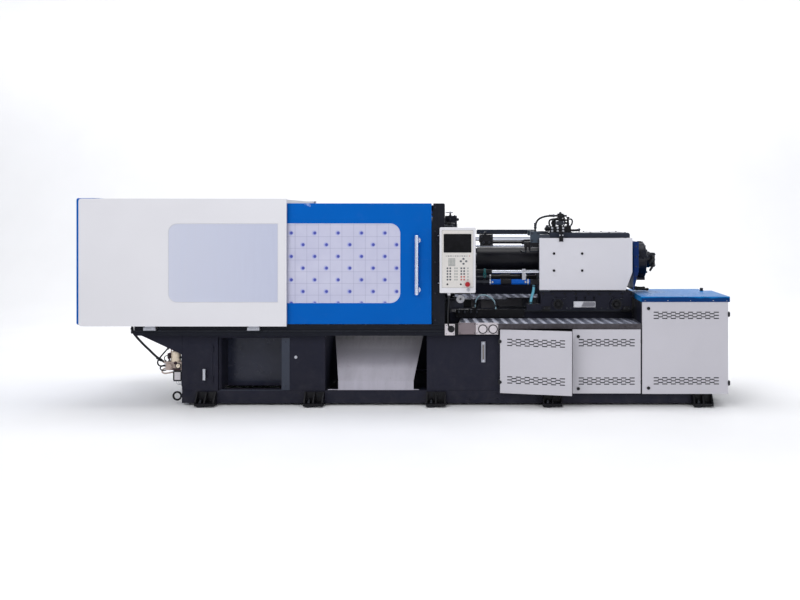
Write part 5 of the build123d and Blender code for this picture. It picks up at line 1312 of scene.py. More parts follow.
# ---------------------------------------------------------------- injection unit
def union(bm, p, axis, r, m=0, h=26):
    """Pipe union: hexagon body, collar and hexagon nut."""
    p, axis = Vector(p), Vector(axis).normalized()
    b_hex(bm, p, axis, r * 1.5, h * 0.42, m)
    b_lathe(bm, p + axis * h * 0.42, axis, [(0, r), (h * 0.1, r), (h * 0.1, r * 1.15), (h * 0.14, r * 1.15)], 18, m)
    b_hex(bm, p + axis * h * 0.56, axis, r * 1.38, h * 0.44, m)


def cap_screw(bm, p, axis, r, m=0):
    """Socket cap screw on a washer."""
    p, axis = Vector(p), Vector(axis).normalized()
    b_lathe(bm, p, axis, [(0, r * 1.45), (r * 0.22, r * 1.45), (r * 0.22, r), (r * 1.1, r), (r * 1.25, r * 0.88), (r * 1.25, r * 0.5), (r * 0.6, r * 0.48), (r * 0.6, 0)], 20, m)


def cover_screws(bm):
    for s in (-1, 1):
        for x in (1479, 1760):
            for z in (1302, 1472):
                b_lathe(bm, (x, s * 383, z), (0, s, 0), [(0, 12), (1.2, 13), (2.4, 12), (2.4, 8.5), (8, 8.5), (9, 7.4), (9, 4.4), (5, 4.2), (5, 0)], 24, 0)
        for x in (1352, 1545, 1738, 1930, 2123, 2240):
            b_screw(bm, (x, s * 366, 1626.2), (0, 0, 1), 4.6, 2.6, 1)
        # folded return along the cover's lower edge
        b_prism(bm, rounded(1345, 2188, 1108.4, 1111.4, 1.2, 2), lambda u, v, d: (u, d, v), *sorted((s * 350, s * 338)), 2)


piece("cover_screws", "carriage", [BLACK, NICKEL, COVER], cover_screws)


def top_plate_details(bm):
    for x in (1470, 1660, 1850, 2040, 2200):
        for y in (-306, 306):
            cap_screw(bm, (x, y, 1678.2), (0, 0, 1), 6.5, 0)


piece("top_plate_fittings", "carriage", DARKSTEEL, top_plate_details)


def manifold_details(bm):
    # solenoid coils, plugs, unions and a sensor on the valve block
    for y in (-180, -124):
        b_lathe(bm, (1451.5, y, 1716), (-1, 0, 0), [(0, 15), (6, 15), (6, 22), (42, 22), (44, 20), (44, 12), (50, 12), (52, 9), (52, 0)], 24, 0)
        b_prism(bm, rounded(1414, 1440, 1736, 1754, 4, 3), lambda u, v, d: (u, d, v), y - 12, y + 12, 1)
    for x in (1474, 1530, 1586):
        for z in (1694, 1724):
            b_lathe(bm, (x, -200.2, z), (0, -1, 0), [(0, 12), (3, 12), (3, 9), (3, 5), (0.8, 5), (0.8, 0)], 6, 2)
    b_lathe(bm, (1500, -140, 1790), (0, 0, 1), [(0, 17), (3, 18), (14, 18), (16, 15), (20, 15), (22, 10)], 8, 0)
    b_lathe(bm, (1480, -172, 1800), (0, 0, 1), [(0, 9), (2, 12), (10, 12), (12, 8), (16, 8), (17, 6)], 6, 2)
    b_lathe(bm, (1561, -180.4, 1849), (0, -1, 0), [(0, 17), (4, 17), (5, 13), (12, 13), (13, 10), (13, 0)], 20, 0)
    b_lathe(bm, (1561, -150, 1872.2), (0, 0, 1), [(0, 15), (8, 15), (9, 11), (15, 11), (17, 8), (17, 0)], 6, 1)
    b_lathe(bm, (1592.2, -150, 1849), (1, 0, 0), [(0, 14), (10, 14), (10, 10), (26, 10), (28, 12), (34, 12), (35, 9), (35, 0)], 18, 0)
    union(bm, (1640, -150, 1746.3), (0, 0, 1), 11, 1, 30)
    b_lathe(bm, (1640, -150, 1824.2), (0, 0, 1), [(0, 15), (3, 16), (12, 16), (14, 12), (15, 0)], 20, 0)
    b_lathe(bm, (1738.2, -150, 1701), (1, 0, 0), [(0, 9), (3, 12), (12, 12), (13, 8), (20, 8), (21, 5)], 6, 1)
    for x in (1536, 1566):
        cap_screw(bm, (x, -394.2, 1655), (0, -1, 0), 5, 2)
    for x in (1622, 1658):
        for y in (-180, -120):
            cap_screw(bm, (x, y, 1746.2), (0, 0, 1), 5, 2)
    # second valve stage between the risers, with its end covers
    b_prism(bm, rounded(1506, 1604, 1752, 1796, 7, 4), lambda u, v, d: (u, d, v), -178, -128, 1)
    b_prism(bm, rounded(1466, 1506, 1760, 1788, 6, 4), lambda u, v, d: (u, d, v), -172, -134, 0)
    b_prism(bm, rounded(1604, 1646, 1764, 1786, 5, 4), lambda u, v, d: (u, d, v), -170, -136, 0)
    b_prism(bm, rounded(1516, 1594, 1802, 1822, 5, 4), lambda u, v, d: (u, d, v), -176, -130, 0)
    for x in (1518, 1592):
        for z in (1760, 1788):
            cap_screw(bm, (x, -178.2, z), (0, -1, 0), 4, 2)
    # short rigid pipes between the blocks
    for pts, r in (
        (smooth_path([(1455, -165, 1742), (1442, -182, 1775), (1448, -195, 1806), (1480, -188, 1815), (1534, -172, 1822)], 10), 9.0),
        (smooth_path([(1594, -132, 1742), (1606, -118, 1772), (1612, -112, 1800), (1600, -118, 1836), (1578, -124, 1848)], 10), 9.0),
        (smooth_path([(1662, -172, 1742), (1680, -180, 1772), (1682, -182, 1800), (1672, -170, 1815), (1655, -158, 1816)], 10), 8.0),
        (smooth_path([(1726, -134, 1704), (1760, -110, 1715), (1772, -70, 1712), (1770, -20, 1690)], 10), 6.0),
    ):
        b_tube(bm, pts, r, 12, 3)


piece("manifold_fittings", "carriage", [BLACK, DARKSTEEL, ZINC, RUBBER], manifold_details)


def front_end(bm):
    # valve and rigid pipes below the upper rod, on both sides
    for s in (-1, 1):
        y = s * 306
        b_prism(bm, rounded(1182, 1262, 1532, 1588, 8, 4), lambda u, v, d: (u, d, v), *sorted((s * 270, s * 344)), 0)
        b_prism(bm, rounded(1262.3, 1330, 1540, 1578, 6, 3), lambda u, v, d: (u, d, v), *sorted((s * 278, s * 336)), 0)
        for x in (1196, 1248):
            for z in (1544, 1577):
                cap_screw(bm, (x, s * 344.2, z), (0, s, 0), 4.2, 3)
        b_lathe(bm, (1222, s * 344.2, 1560), (0, s, 0), [(0, 15), (5, 15), (6, 12), (14, 12), (16, 9), (16, 0)], 6, 0)
        union(bm, (1200, y, 1531.8), (0, 0, -1), 9, 0, 28)
        union(bm, (1238, y + s * 12, 1531.8), (0, 0, -1), 8, 0, 26)
        b_tube(bm, smooth_path([(1200, y, 1506), (1200, y, 1492), (1192, y - s * 8, 1482), (1172, y - s * 30, 1484), (1150, y - s * 60, 1496)], 8), 8, 12, 3)
        b_tube(bm, smooth_path([(1238, y + s * 12, 1508), (1238, y + s * 12, 1498), (1250, y + s * 6, 1491), (1284, y - s * 6, 1492), (1338, y - s * 10, 1494)], 8), 7, 12, 3)
        # bolts of the rod's end blocks and of the cylinder's block
        for x in (1262, 1322):
            for z in (1600, 1672):
                cap_screw(bm, (x, s * 345.2, z), (0, s, 0), 7, 3)
        for x in (1258, 1324):
            for z in (1172, 1198):
                cap_screw(bm, (x, s * 332.2, z), (0, s, 0), 5, 3)
        # rings, ports and end caps of the carriage cylinder
        for x, w in ((836, 14), (1214, 16)):
            b_lathe(bm, (x, s * 298, 1184), (1, 0, 0), [(0, 28), (0, 31.5), (w, 31.5), (w, 28)], 32, 1)
        for x in (866, 1196):
            union(bm, (x, s * 326, 1184), (0, s, 0), 8, 2, 22)
        # gland that runs along the thin rod with the cylinder
        b_lathe(bm, (768, s * 298, 1184), (1, 0, 0), [(0, 15.6), (0, 26), (30, 26), (30, 19), (65.8, 19), (65.8, 15.6)], 20, 3)
        # light clamp on the lower rod
        b_lathe(bm, (1168, s * 298, 1285), (1, 0, 0), [(0, 18.2), (0, 30), (26, 30), (26, 18.2)], 28, 2)
        cap_screw(bm, (1181, s * 322, 1262), (0, s, 0), 5, 1)


piece("carriage_front_fittings", "carriage", [BLACK, ZINC, NICKEL, DARKSTEEL], front_end)


def rail_bolts(bm):
    for x in (720, 900, 1080, 1220):
        cap_screw(bm, (x, 388.2, 1672), (0, 1, 0), 6, 0)
        cap_screw(bm, (x, 375.8, 1672), (0, -1, 0), 6, 0)
    b_prism(bm, rounded(700, 1326, 1694.2, 1700, 2, 2), lambda u, v, d: (u, d, v), 377, 387, 1)


piece("hose_rail_bolts", "carriage", [DARKSTEEL, RUBBER], rail_bolts)


def carriage_details(bm):
    for s in (-1, 1):
        for x in (1524, 2106):
            b_lathe(bm, (x, s * 358.2, 964), (0, s, 0), [(0, 52), (3, 50), (3, 40), (5.8, 40)], 36, 0)
            b_hex(bm, (x, s * 364.2, 964), (0, s, 0), 27, 15, 0)
            for k in range(6):
                t = math.radians(60 * k + 12)
                cap_screw(bm, (x + 50 * math.cos(t), s * 358.2, 964 + 50 * math.sin(t)), (0, s, 0), 4.6, 1)
        for x in (1390, 1440, 1612, 1650, 1900, 1960, 2022, 2190, 2236):
            cap_screw(bm, (x, s * 330.2, 922), (0, s, 0), 7, 1)
        for x in (1376, 1470, 1590, 1700, 1830, 1940, 2046, 2170, 2250):
            cap_screw(bm, (x, s * 330.2, 1066), (0, s, 0), 8, 0)
        # wipers and gibs that run along the rails
        for x0, x1 in ((1364, 1452), (2168, 2252)):
            b_prism(bm, rounded(x0, x1, 888, 903.5, 3, 2), lambda u, v, d: (u, d, v), *sorted((s * 243, s * 302)), 2)
            b_prism(bm, rounded(x0 + 6, x1 - 6, 905, 940, 4, 3), lambda u, v, d: (u, d, v), *sorted((s * 330.3, s * 344)), 0)
            for x in (x0 + 20, x1 - 20):
                cap_screw(bm, (x, s * 344.2, 922), (0, s, 0), 5.5, 1)
        # ribs between the base plate and the cheeks
        for x in (1700, 1790, 1880):
            b_prism(bm, [(s * 330.3, 1038), (s * 348, 1038), (s * 330.3, 1000)], lambda u, v, d: (d, u, v), x, x + 10, 0)
    # grease nipples and pipes
    for x in (1480, 1580, 2050, 2150):
        b_lathe(bm, (x, -330.2, 1016), (0, -1, 0), [(0, 7), (5, 7), (5, 5), (10, 5), (12, 6), (15, 6), (17, 3), (17, 0)], 6, 3)
        b_tube(bm, smooth_path([(x, -342, 1016), (x + 12, -346, 1022), (x + 20, -344, 1030), (x + 22, -336, 1037)], 8), 3, 8, 3)


piece("carriage_fittings", "carriage", [BLACK, DARKSTEEL, RUBBER, DARKSTEEL], carriage_details)


def plate_frame(bm):
    # bare raised border and rivets of the plain plate
    for a, b, c, d in ((1683, 1897, 983, 987), (1683, 1897, 933, 937), (1683, 1687, 937, 983), (1893, 1897, 937, 983)):
        b_prism(bm, rounded(a, b, c, d, 1.2, 2), lambda u, v, dd: (u, dd, v), -337.0, -336.1, 0)
    for x in (1691, 1889):
        for z in (941, 979):
            b_lathe(bm, (x, -336.1, z), (0, -1, 0), [(0, 3), (1.2, 2.8), (2, 1.6), (2.2, 0)], 16, 0)


piece("plain_plate_border", "carriage", NICKEL, plate_frame)


def clamp_block_details(bm):
    for s in (-1, 1):
        for x in (757, 852):
            for z in (1560, 1640):
                cap_screw(bm, (x, s * 340.2, z), (0, s, 0), 7, 1)
        b_prism(bm, rounded(742, 867, 1602, 1605, 1, 2), lambda u, v, d: (u, d, v), *sorted((s * 340.1, s * 341.2)), 2)
        for x in (775, 832):
            union(bm, (x, s * 340.2, 1582), (0, s, 0), 9, 1, 28)
        b_lathe(bm, (790, s * 300, 1660.2), (0, 0, 1), [(0, 16), (8, 16), (8, 12), (20, 12), (22, 9), (22, 0)], 6, 1)
        b_lathe(bm, (730, s * 298, 1623), (1, 0, 0), [(0, 26.3), (0, 40), (8.8, 44), (8.8, 26.3)], 32, 0)
        # nuts that hold the rods in the fixed platen
        for z, r, w in ((1623, 26.3, 44), (1285, 24.3, 40)):
            b_lathe(bm, (391, s * 298, z), (1, 0, 0), [(0, r), (0, w), (26, w), (30, w * 0.92), (30, r)], 6, 2)
        # teal fittings and thin tubes on the lower rods
        b_lathe(bm, (776, s * 298, 1285), (1, 0, 0), [(0, 24.2), (0, 33), (22, 33), (22, 24.2)], 24, 3)
        b_tube(bm, smooth_path([(780, s * 330, 1282), (774, s * 335, 1250), (786, s * 336, 1224), (800, s * 335, 1250), (794, s * 330, 1284)], 8), 5, 10, 3)


piece("rod_clamp_fittings", "base", [BLACK, DARKSTEEL, DARKSTEEL, TEALGREEN], clamp_block_details)


def flange_pipe(bm):
    # water connection beside the fixed platen: bent pipe and bolted flange
    pts = smooth_path([(392, -290, 1015), (470, -290, 1015), (524, -290, 1015), (543, -296, 1015), (543, -312, 1015), (543, -350, 1015)], 10)
    b_tube(bm, pts, 21, 24, 1)
    b_lathe(bm, (391, -290, 1015), (1, 0, 0), [(0, 36), (10, 36), (12, 34), (12, 21)], 32, 1)
    b_lathe(bm, (543, -346, 1015), (0, -1, 0), [(0, 21), (0, 40), (9, 41), (11, 39), (11, 26), (8, 24), (8, 12), (4, 10), (4, 0)], 40, 0)
    for k in range(4):
        t = math.radians(90 * k + 45)
        cap_screw(bm, (543 + 32 * math.cos(t), -357.1, 1015 + 32 * math.sin(t)), (0, -1, 0), 4, 2)


piece("water_flange", "base", [PANEL, DARKSTEEL, ZINC], flange_pipe)


def manifold_row(bm):
    # row of small stop valves along the water manifold
    for i in range(4):
        x = 520 + i * 62
        b_lathe(bm, (x, -240.2, 872), (0, -1, 0), [(0, 13), (4, 13), (5, 9), (18, 9), (20, 12), (28, 12), (30, 9), (30, 0)], 6, 0)
        b_lathe(bm, (x, -262, 880), (0, 0, 1), [(0, 5), (12, 5), (14, 9), (20, 9), (21, 0)], 12, 1)
        b_prism(bm, rounded(x - 5, x + 26, -268, -256, 4, 3), lambda u, v, d: (u, v, d), 899, 903, 2 if i % 2 else 3)
    for x in (505, 700, 940, 1180):
        cap_screw(bm, (x, -240.2, 828), (0, -1, 0), 5, 1)


piece("water_valves", "base", [DARKSTEEL, DARKSTEEL, KEYDARK, KEYDARK], manifold_row)


def rod_ends(bm):
    # tapped seats, gland bolts and hose elbows of the screw motor
    for k in range(12):
        t = math.radians(30 * k + 15)
        cap_screw(bm, (2350.2, 168 * math.cos(t) * 0.82, AXISZ + 168 * math.sin(t) * 0.82), (1, 0, 0), 7, 1)
    for k in range(5):
        t = math.radians(72 * k + 18)
        b_hex(bm, (2456.2, 145 * math.cos(t), AXISZ - 18 + 145 * math.sin(t)), (1, 0, 0), 12, 8, 1)
        # ribs of the radial cylinders on the motor's rim
        b_lathe(bm, (2398, 186 * math.cos(t), AXISZ - 18 + 186 * math.sin(t)), (0, math.cos(t), math.sin(t)), [(0, 40), (6, 40), (9, 36), (9, 24), (14, 22), (14, 0)], 6, 0)
    for z in (AXISZ - 46, AXISZ + 24):
        b_lathe(bm, (2524, -66.2, z), (0, -1, 0), [(0, 24), (10, 24), (12, 20), (12, 15), (26, 15), (28, 18), (40, 18), (42, 14), (42, 0)], 24, 0)
        b_tube(bm, smooth_path([(2524, -104, z), (2524, -124, z), (2520, -136, z - 8), (2506, -140, z - 34), (2480, -140, z - 74)], 8), 12, 14, 2)
    for y in (-48, 48):
        for z in (AXISZ - 66, AXISZ + 44):
            cap_screw(bm, (2548.2, y, z), (1, 0, 0), 7, 1)
    b_lathe(bm, (2548.2, 0, AXISZ - 10), (1, 0, 0), [(0, 34), (6, 34), (8, 30), (8, 12), (14, 10), (14, 0)], 32, 0)
    b_lathe(bm, (2472, 0, AXISZ + 74), (0, 0, 1), [(0, 12), (8, 12), (8, 9), (18, 9), (20, 6), (20, 0)], 6, 1)


AXISZ = 1404
piece("screw_motor_fittings", "thrust_block", [MOTOR, DARKSTEEL, RUBBER], rod_ends)


def drain_pipes(bm):
    # black pipes from the rear plate's underside, close over the hood, each with a plugged elbow
    for y, low, x1, r in ((-60, 1092, 2462, 12), (-24, 1106, 2430, 10), (30, 1096, 2444, 11)):
        b_tube(bm, smooth_path([(2301, y, 1172), (2302, y, low + 30), (2312, y, low + 8), (2334, y, low), (2380, y, low - 2), (x1, y, low - 4)], 10), r, 14, 0)
        b_lathe(bm, (x1 - 2, y, low - 4), (1, 0, 0), [(0, r), (0, r * 1.35), (14, r * 1.35), (15, r * 1.1), (22, r * 1.1), (24, r * 0.8), (24, 0)], 6, 1)
        b_lathe(bm, (2350, y, low - 1), (1, 0, 0), [(0, r), (0, r * 1.3), (18, r * 1.3), (18, r)], 20, 1)


piece("drain_pipes", "thrust_block", [RUBBER, BLACK], drain_pipes)


def tie_bar_caps(bm):
    # turned end caps over the tie bars' nuts
    for s in (-1, 1):
        for z in (1094, 1714):
            b_lathe(bm, (465.4, s * 310, z), (1, 0, 0), [(0, 50), (2, 54), (17, 54), (21, 49), (21, 20), (18, 18), (18, 0)], 44, 0)


piece("tie_bar_caps", "base", DARKSTEEL, tie_bar_caps)


def housing_bolts(bm):
    for y in (-290, -150, 150, 290):
        for z in (1330, 1450, 1560):
            cap_screw(bm, (2334.7, y, z), (1, 0, 0), 9, 0)
    for s in (-1, 1):
        for z in (1240, 1340, 1440, 1540):
            cap_screw(bm, (2308, s * 330.2, z), (0, s, 0), 6, 0)


piece("rear_housing_bolts", "thrust_block", DARKSTEEL, housing_bolts)

# ---------------------------------------------------------------- lubrication unit at the left end
def lube_details(bm):
    # ribbed reservoir with its filler cap, motor, gauge, elbows and small pipes
    for i in range(7):
        z = 424 + i * 13.4
        b_lathe(bm, (-2245, -508, z), (0, 0, 1), [(0, 46.1), (2, 48.5), (6, 48.5), (8, 46.1)], 36, 0)
    b_lathe(bm, (-2245, -508, 536.2), (0, 0, 1), [(0, 30), (2, 33), (10, 33), (12, 30), (12, 12), (18, 11), (19, 0)], 24, 1)
    for k in range(12):
        t = math.radians(30 * k)
        b_cyl(bm, (-2245 + 33 * math.cos(t), -508 + 33 * math.sin(t), 538), (-2245 + 33 * math.cos(t), -508 + 33 * math.sin(t), 546), 2, 6, 1)
    b_lathe(bm, (-2205, -555.2, 384), (0, -1, 0), [(0, 26), (3, 27), (12, 27), (14, 24), (14, 21), (11, 20), (11, 0)], 28, 1)
    b_lathe(bm, (-2205, -566.4, 384), (0, -1, 0), [(0, 20), (1, 19.6), (1, 0)], 28, 0)
    b_prism(bm, [(-2207, 384), (-2203, 384), (-2200, 399), (-2201.5, 400)], lambda u, v, d: (u, d, v), -568.6, -567.6, 1)
    b_lathe(bm, (-2285, -555.2, 380), (0, -1, 0), [(0, 30), (5, 30), (6, 26), (34, 26), (38, 22), (38, 9), (44, 8), (44, 0)], 28, 3)
    for k in range(10):
        t = math.radians(36 * k)
        b_cyl(bm, (-2285 + 26.5 * math.cos(t), -562, 380 + 26.5 * math.sin(t)), (-2285 + 26.5 * math.cos(t), -588, 380 + 26.5 * math.sin(t)), 2.2, 6, 3)
    for x in (-2316, -2296, -2276):
        union(bm, (x, -500, 420.2), (0, 0, 1), 6, 1, 20)
    b_tube(bm, smooth_path([(-2316, -500, 440), (-2318, -502, 462), (-2332, -506, 476), (-2352, -510, 470), (-2362, -512, 448), (-2352, -512, 428), (-2338, -508, 420)], 10), 4.5, 10, 1)
    b_tube(bm, smooth_path([(-2296, -500, 440), (-2297, -500, 470), (-2300, -500, 510), (-2290, -500, 560), (-2262, -505, 600), (-2214, -520, 620), (-2176, -530, 624)], 10), 4.5, 10, 2)
    b_tube(bm, smooth_path([(-2330, -530, 356), (-2352, -532, 352), (-2372, -532, 338), (-2374, -530, 314), (-2350, -528, 302), (-2310, -524, 308), (-2262, -520, 316)], 10), 7.5, 12, 3)
    b_tube(bm, smooth_path([(-2330, -540, 376), (-2366, -545, 380), (-2388, -545, 366), (-2386, -542, 344), (-2366, -540, 334), (-2336, -540, 336), (-2330, -540, 344)], 10), 6.0, 10, 1)
    # dark valves on the pump, and the thick black pipe from the gusset round to the pump's left end
    b_prism(bm, rounded(-2314, -2284, 450, 506, 8, 4), lambda u, v, d: (u, d, v), -552, -516, 5)
    b_lathe(bm, (-2299, -552.2, 478), (0, -1, 0), [(0, 12), (8, 12), (9, 8), (16, 8), (17, 0)], 20, 1)
    b_lathe(bm, (-2232, -555.2, 412), (0, -1, 0), [(0, 15), (10, 15), (12, 12), (22, 12), (23, 0)], 6, 5)
    b_lathe(bm, (-2188, -540, 462), (0, -1, 0), [(0, 13), (14, 13), (16, 10), (24, 10), (25, 0)], 6, 1)
    b_cyl(bm, (-2188, -541, 462), (-2188, -470, 462), 7, 12, 1)
    b_prism(bm, rounded(-2262, -2182, 344, 358, 5, 3), lambda u, v, d: (u, d, v), -566, -555.2, 5)
    b_tube(bm, smooth_path([(-2302, -568, 554), (-2318, -560, 540), (-2350, -548, 508), (-2384, -536, 470), (-2410, -534, 440), (-2420, -532, 408), (-2408, -530, 382), (-2384, -526, 374), (-2350, -520, 384)], 12), 7.5, 14, 1)
    b_lathe(bm, (-2302, -568, 560), (0, 0, -1), [(0, 12), (10, 12), (12, 9), (18, 8)], 6, 1)
    b_lathe(bm, (-2340, -508, 381.8), (0, 0, -1), [(0, 13), (10, 13), (12, 10), (26, 10), (28, 13), (36, 13), (37, 0)], 6, 4)
    b_lathe(bm, (-2340, -522.2, 398), (0, -1, 0), [(0, 12), (8, 12), (9, 8), (18, 8), (19, 0)], 6, 4)
    for x in (-2168,):
        for z in (196, 524):
            b_hex(bm, (x - 7.2, -540, z), (-1, 0, 0), 9, 7, 4)


piece("lubrication_fittings", "base", [CREAM, BLACKPLASTIC, COPPER, CAST, ZINC, MAROON], lube_details)


def box_grid(bm):
    # distribution box: framed face with twelve small caps
    b_prism(bm, rounded(-2246, -2188, 245, 320, 4, 4), lambda u, v, d: (u, d, v), -551.0, -549.2, 0)
    for i in range(3):
        for j in range(4):
            x, z = -2237 + i * 18, 252 + j * 19.4
            b_prism(bm, rounded(x - 7, x + 7, z - 7.4, z + 7.4, 2.4, 3), lambda u, v, d: (u, d, v), -554.4, -551.0, 1)
            b_lathe(bm, (x, -554.6, z), (0, -1, 0), [(0, 3.6), (1.4, 3.2), (1.4, 0)], 12, 0)
    for x, z in ((-2257, 234), (-2180, 234), (-2257, 328), (-2180, 328)):
        b_screw(bm, (x, -545.2, z), (0, -1, 0), 4, 2.4, 2)
    for i in range(3):
        b_tube(bm, smooth_path([(-2236 + i * 22, -520, 228.8), (-2236 + i * 22, -520, 208), (-2226 + i * 16, -516, 194), (-2206 + i * 8, -508, 190), (-2176, -500, 190)], 8), 3.2, 8, 2)


piece("distribution_box_face", "base", [PANEL, SOCKET, ZINC], box_grid)


def ring_staple(bm):
    b_lathe(bm, (-2180, -540, 86), (1, 0, 0), [(0, 14), (3, 16), (16, 16), (18.6, 13)], 20, 0)
    weld_bead(bm, (-2163, -556, 70), (-2163, -524, 70), 2.4)
    weld_bead(bm, (-2163, -556, 102), (-2163, -524, 102), 2.4)


piece("lifting_ring_boss", "base", BLACK, ring_staple)


def jamb(bm):
    # upright strip at the right of the open recess, glossy, its paint lighter than the bed as a painted highlight, and
    # the lip under it
    b_prism(bm, rounded(-1190, -1111, 150, 661, 2, 2), lambda u, v, d: (u, d, v), -583.2, -580.2, 0)
    b_prism(bm, rounded(-1790, -1192, 147.3, 153, 1.5, 2), lambda u, v, d: (u, d, v), -581.4, -572, 0)
    for z in (190, 620):
        b_screw(bm, (-1150, -583.2, z), (0, -1, 0), 5, 2.4, 1)


piece("recess_jamb", "base", [JAMB_PAINTED_HIGHLIGHT, BED], jamb)


# ---------------------------------------------------------------- guards, roof and rear side
def roof_details(bm):
    for x in range(-2940, -1150, 220):
        for y in (-640, 640):
            b_screw(bm, (x, y, 2008), (0, 0, 1), 6, 3, 0)
    for x in (-2400, -1770):
        b_prism(bm, rounded(x - 1.5, x + 1.5, -660, 660, 1, 2), lambda u, v, d: (u, v, d), 2008, 2009.5, 1)
    # rear cover: stiffening ribs, vents and screws on the inside and outside
    for i in range(9):
        for j in range(3):
            x, z = -2870 + j * 640, 1700 + i * 18
            b_prism(bm, rounded(x, x + 260, z, z + 7, 3.2, 4), lambda u, v, d: (u, d, v), 700, 703, 2)
    for x in (-3090, -2460, -1800, -1137):
        for z in (810, 1400, 1990):
            b_screw(bm, (x, 700, z), (0, 1, 0), 6, 3, 0)


piece("roof_screws", "base", [NICKEL, GASKET, WHITE], roof_details)


def rear_guard_details(bm):
    for x in (640, 907, 1208, 1480):
        for z in (980, 1220, 1462):
            b_screw(bm, (x, 796, z), (0, -1, 0), 5, 2.6, 0)
    for x in (760, 1060, 1360):
        b_prism(bm, rounded(x - 60, x + 60, 1340, 1400, 12, 4), lambda u, v, d: (u, d, v), 795.9, 793.4, 1)
    for x in (660, 1060, 1440):
        cap_screw(bm, (x, 812, 961.4), (0, 0, 1), 7, 0)


piece("rear_guard_screws", "base", [DARKSTEEL, BLACK], rear_guard_details)


def rear_beads(bm):
    # rear gate's handle feet and screws
    for z in (1160, 1585):
        b_lathe(bm, (135, 648.4, z), (0, 1, 0), [(0, 13), (3, 13), (5, 10)], 24, 0)
    for x in (-1214, -620, 256):
        for z in (818, 1953):
            b_screw(bm, (x, 648, z), (0, 1, 0), 5, 2.6, 0)


piece("rear_gate_handle_feet", "rear_gate", NICKEL, rear_beads)


def column_details(bm):
    for s in (-1, 1):
        for z in (840, 1100, 1400, 1700, 1930):
            b_lathe(bm, (310, s * 650, z), (0, s, 0), [(0, 8), (1.4, 8), (2.4, 6.5), (2.4, 3), (1, 2.8), (1, 0)], 18, 0)
        # rubber bumper where the gate meets the column, and a seam down the column
        b_prism(bm, rounded(284, 291.6, 860, 1900, 3, 3), lambda u, v, d: (u, d, v), *sorted((s * 612, s * 640)), 1)
        xs = 346 if s < 0 else 318
        b_prism(bm, rounded(xs, xs + 3, 800, 1965, 1, 2), lambda u, v, d: (u, d, v), *sorted((s * 650.1, s * 651.4)), 1)


piece("column_fittings", "base", [DARKSTEEL, GASKET], column_details)


def valve_details(bm):
    # pressure valve beside the fixed platen's top: screws, plugs and the light hand lever's hub
    b_lathe(bm, (432, -345.3, 1812), (0, -1, 0), [(0, 18), (6, 18), (8, 14), (16, 14), (18, 16), (24, 16), (26, 12), (26, 0)], 24, 0)
    b_lathe(bm, (506.3, -305, 1812), (1, 0, 0), [(0, 16), (8, 16), (10, 12), (16, 12), (18, 13), (21, 10), (21, 0)], 24, 0)
    for x in (404, 492):
        for z in (1790, 1838):
            cap_screw(bm, (x, -345.2, z), (0, -1, 0), 4, 1)
    cap_screw(bm, (484, -305, 1850.2), (0, 0, 1), 6, 1)
    b_lathe(bm, (440, -305, 1887.2), (0, 0, 1), [(0, 10), (3, 10), (4, 8), (4, 4), (2, 3.6), (2, 0)], 20, 2)
    b_lathe(bm, (440, -305, 1850.2), (0, 0, 1), [(0, 9.2), (0, 14), (5, 14), (7, 11), (7, 9.2)], 24, 1)


piece("pressure_valve_fittings", "base", [MOTOR, DARKSTEEL, GAUGE], valve_details)


def motor_details(bm):
    # cooling fins, fan cowl and the rings on the cowl of the pump motor
    for k in range(40):
        t = math.radians(9 * k)
        if 60 < math.degrees(t) < 120 or 240 < math.degrees(t) < 300:
            continue
        c, s_ = math.cos(t), math.sin(t)
        q = [(139, -1.6), (153, -1.0), (153, 1.0), (139, 1.6)]
        b_prism(bm, q, lambda u, v, d: (d, -320 + u * c - v * s_, 330 + u * s_ + v * c), 1110, 1390, 0)
    b_lathe(bm, (1058, -320, 330), (-1, 0, 0), [(0, 143), (2, 148), (34, 148), (40, 140), (44, 120), (44, 30), (40, 26), (40, 0)], 48, 1)
    for k in range(3):
        b_lathe(bm, (1013.8, -320, 330), (-1, 0, 0), [(0, 52 + 24 * k), (1.6, 53 + 24 * k), (1.6, 47 + 24 * k), (0, 46 + 24 * k)], 40, 1)


piece("pump_motor_fins", "base", [PUMP, BLACK], motor_details)


def chute_hem(bm):
    # rolled lip of the drop chute
    lo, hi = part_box("drop_chute")
    x0, x1 = lo[0] * 1000, hi[0] * 1000
    y, z = lo[1] * 1000, lo[2] * 1000
    b_tube(bm, [(x0 + 14 + (x1 - x0 - 28) * i / 24, y + 3, z + 4) for i in range(25)], 4, 10, 0)


piece("chute_lip", "base", CHUTE, chute_hem)


def hinge_dots(bm):
    # black knuckle covers on the first door's hinge side
    for z in (633, 241):
        b_lathe(bm, (940, -640.2, z), (0, -1, 0), [(0, 14), (1, 15), (7, 15), (9, 12), (9.4, 0)], 28, 0)
    m = Matrix.Translation((931.5 * K, -636 * K, 0)) @ Matrix.Rotation(math.radians(-11.6), 4, "Z") @ Matrix.Translation((-931.5 * K, 636 * K, 0))
    bmesh.ops.transform(bm, matrix=m, verts=bm.verts)


piece("door_1_hinge_covers", "cabinet_door_1", BLACKPLASTIC, hinge_dots)

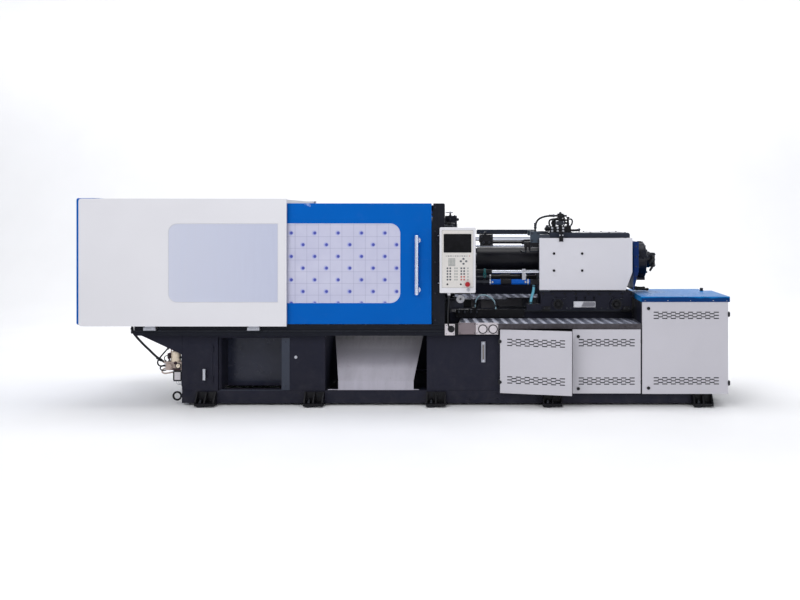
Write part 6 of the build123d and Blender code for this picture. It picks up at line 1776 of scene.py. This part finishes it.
# ================================================================ light, floor and backdrop
W = bpy.data.worlds.new("studio")
SC.world = W
W.use_nodes = True
bg = W.node_tree.nodes["Background"]
bg.inputs["Color"].default_value = (0.93, 0.95, 1.0, 1.0)
bg.inputs["Strength"].default_value = 0.55


def area(name, loc, aim, size, power, tint=(1, 1, 1)):
    lamp = bpy.data.lights.new(name, "AREA")
    lamp.shape = "RECTANGLE"
    lamp.size, lamp.size_y = size
    lamp.energy = power
    lamp.color = tint
    o = bpy.data.objects.new(name, lamp)
    SC.collection.objects.link(o)
    o.location = loc
    o.rotation_euler = (Vector(aim) - Vector(loc)).to_track_quat("-Z", "Y").to_euler()
    return o


FLOOR = paint("studio_floor", (246, 246, 247), 0.6, 0.0, 0.01, 60.0, 0.02, 0.0)
area("key", (-3.2, -7.0, 6.0), (0, 0, 1.2), (5.0, 3.0), 230)
area("fill", (5.0, -7.0, 3.0), (0.5, 0, 1.0), (4.0, 3.0), 100)
area("top", (0.0, 0.0, 6.5), (0, 0, 1.0), (7.0, 3.0), 205)
area("rim", (0.0, 6.0, 4.0), (0, 0, 1.2), (6.0, 3.0), 150)
area("backdrop", (0.0, 4.6, 7.0), (0, 8, 4.0), (24.0, 1.5), 200)
area("floor_wash", (0.0, 5.2, 6.6), (0, 6.0, 0), (24.0, 1.5), 170)

me = bpy.data.meshes.new("studio_floor")
bm = bmesh.new()
prof = [(-16.0, 0.0), (5.0, 0.0)] + [(5.0 + 3.0 * math.sin(t), 3.0 - 3.0 * math.cos(t)) for t in [math.pi / 2 * i / 12 for i in range(1, 13)]] + [(8.0, 14.0)]
cols = [[bm.verts.new((x, y, z - 0.0005)) for y, z in prof] for x in (-18.0, 18.0)]
for i in range(len(prof) - 1):
    bm.faces.new((cols[0][i], cols[1][i], cols[1][i + 1], cols[0][i + 1]))
bm.to_mesh(me)
bm.free()
for p in me.polygons:
    p.use_smooth = True
me.materials.append(FLOOR)
floor = bpy.data.objects.new("studio_floor", me)
SC.collection.objects.link(floor)

# ================================================================ final update of the view layer
bpy.context.view_layer.update()
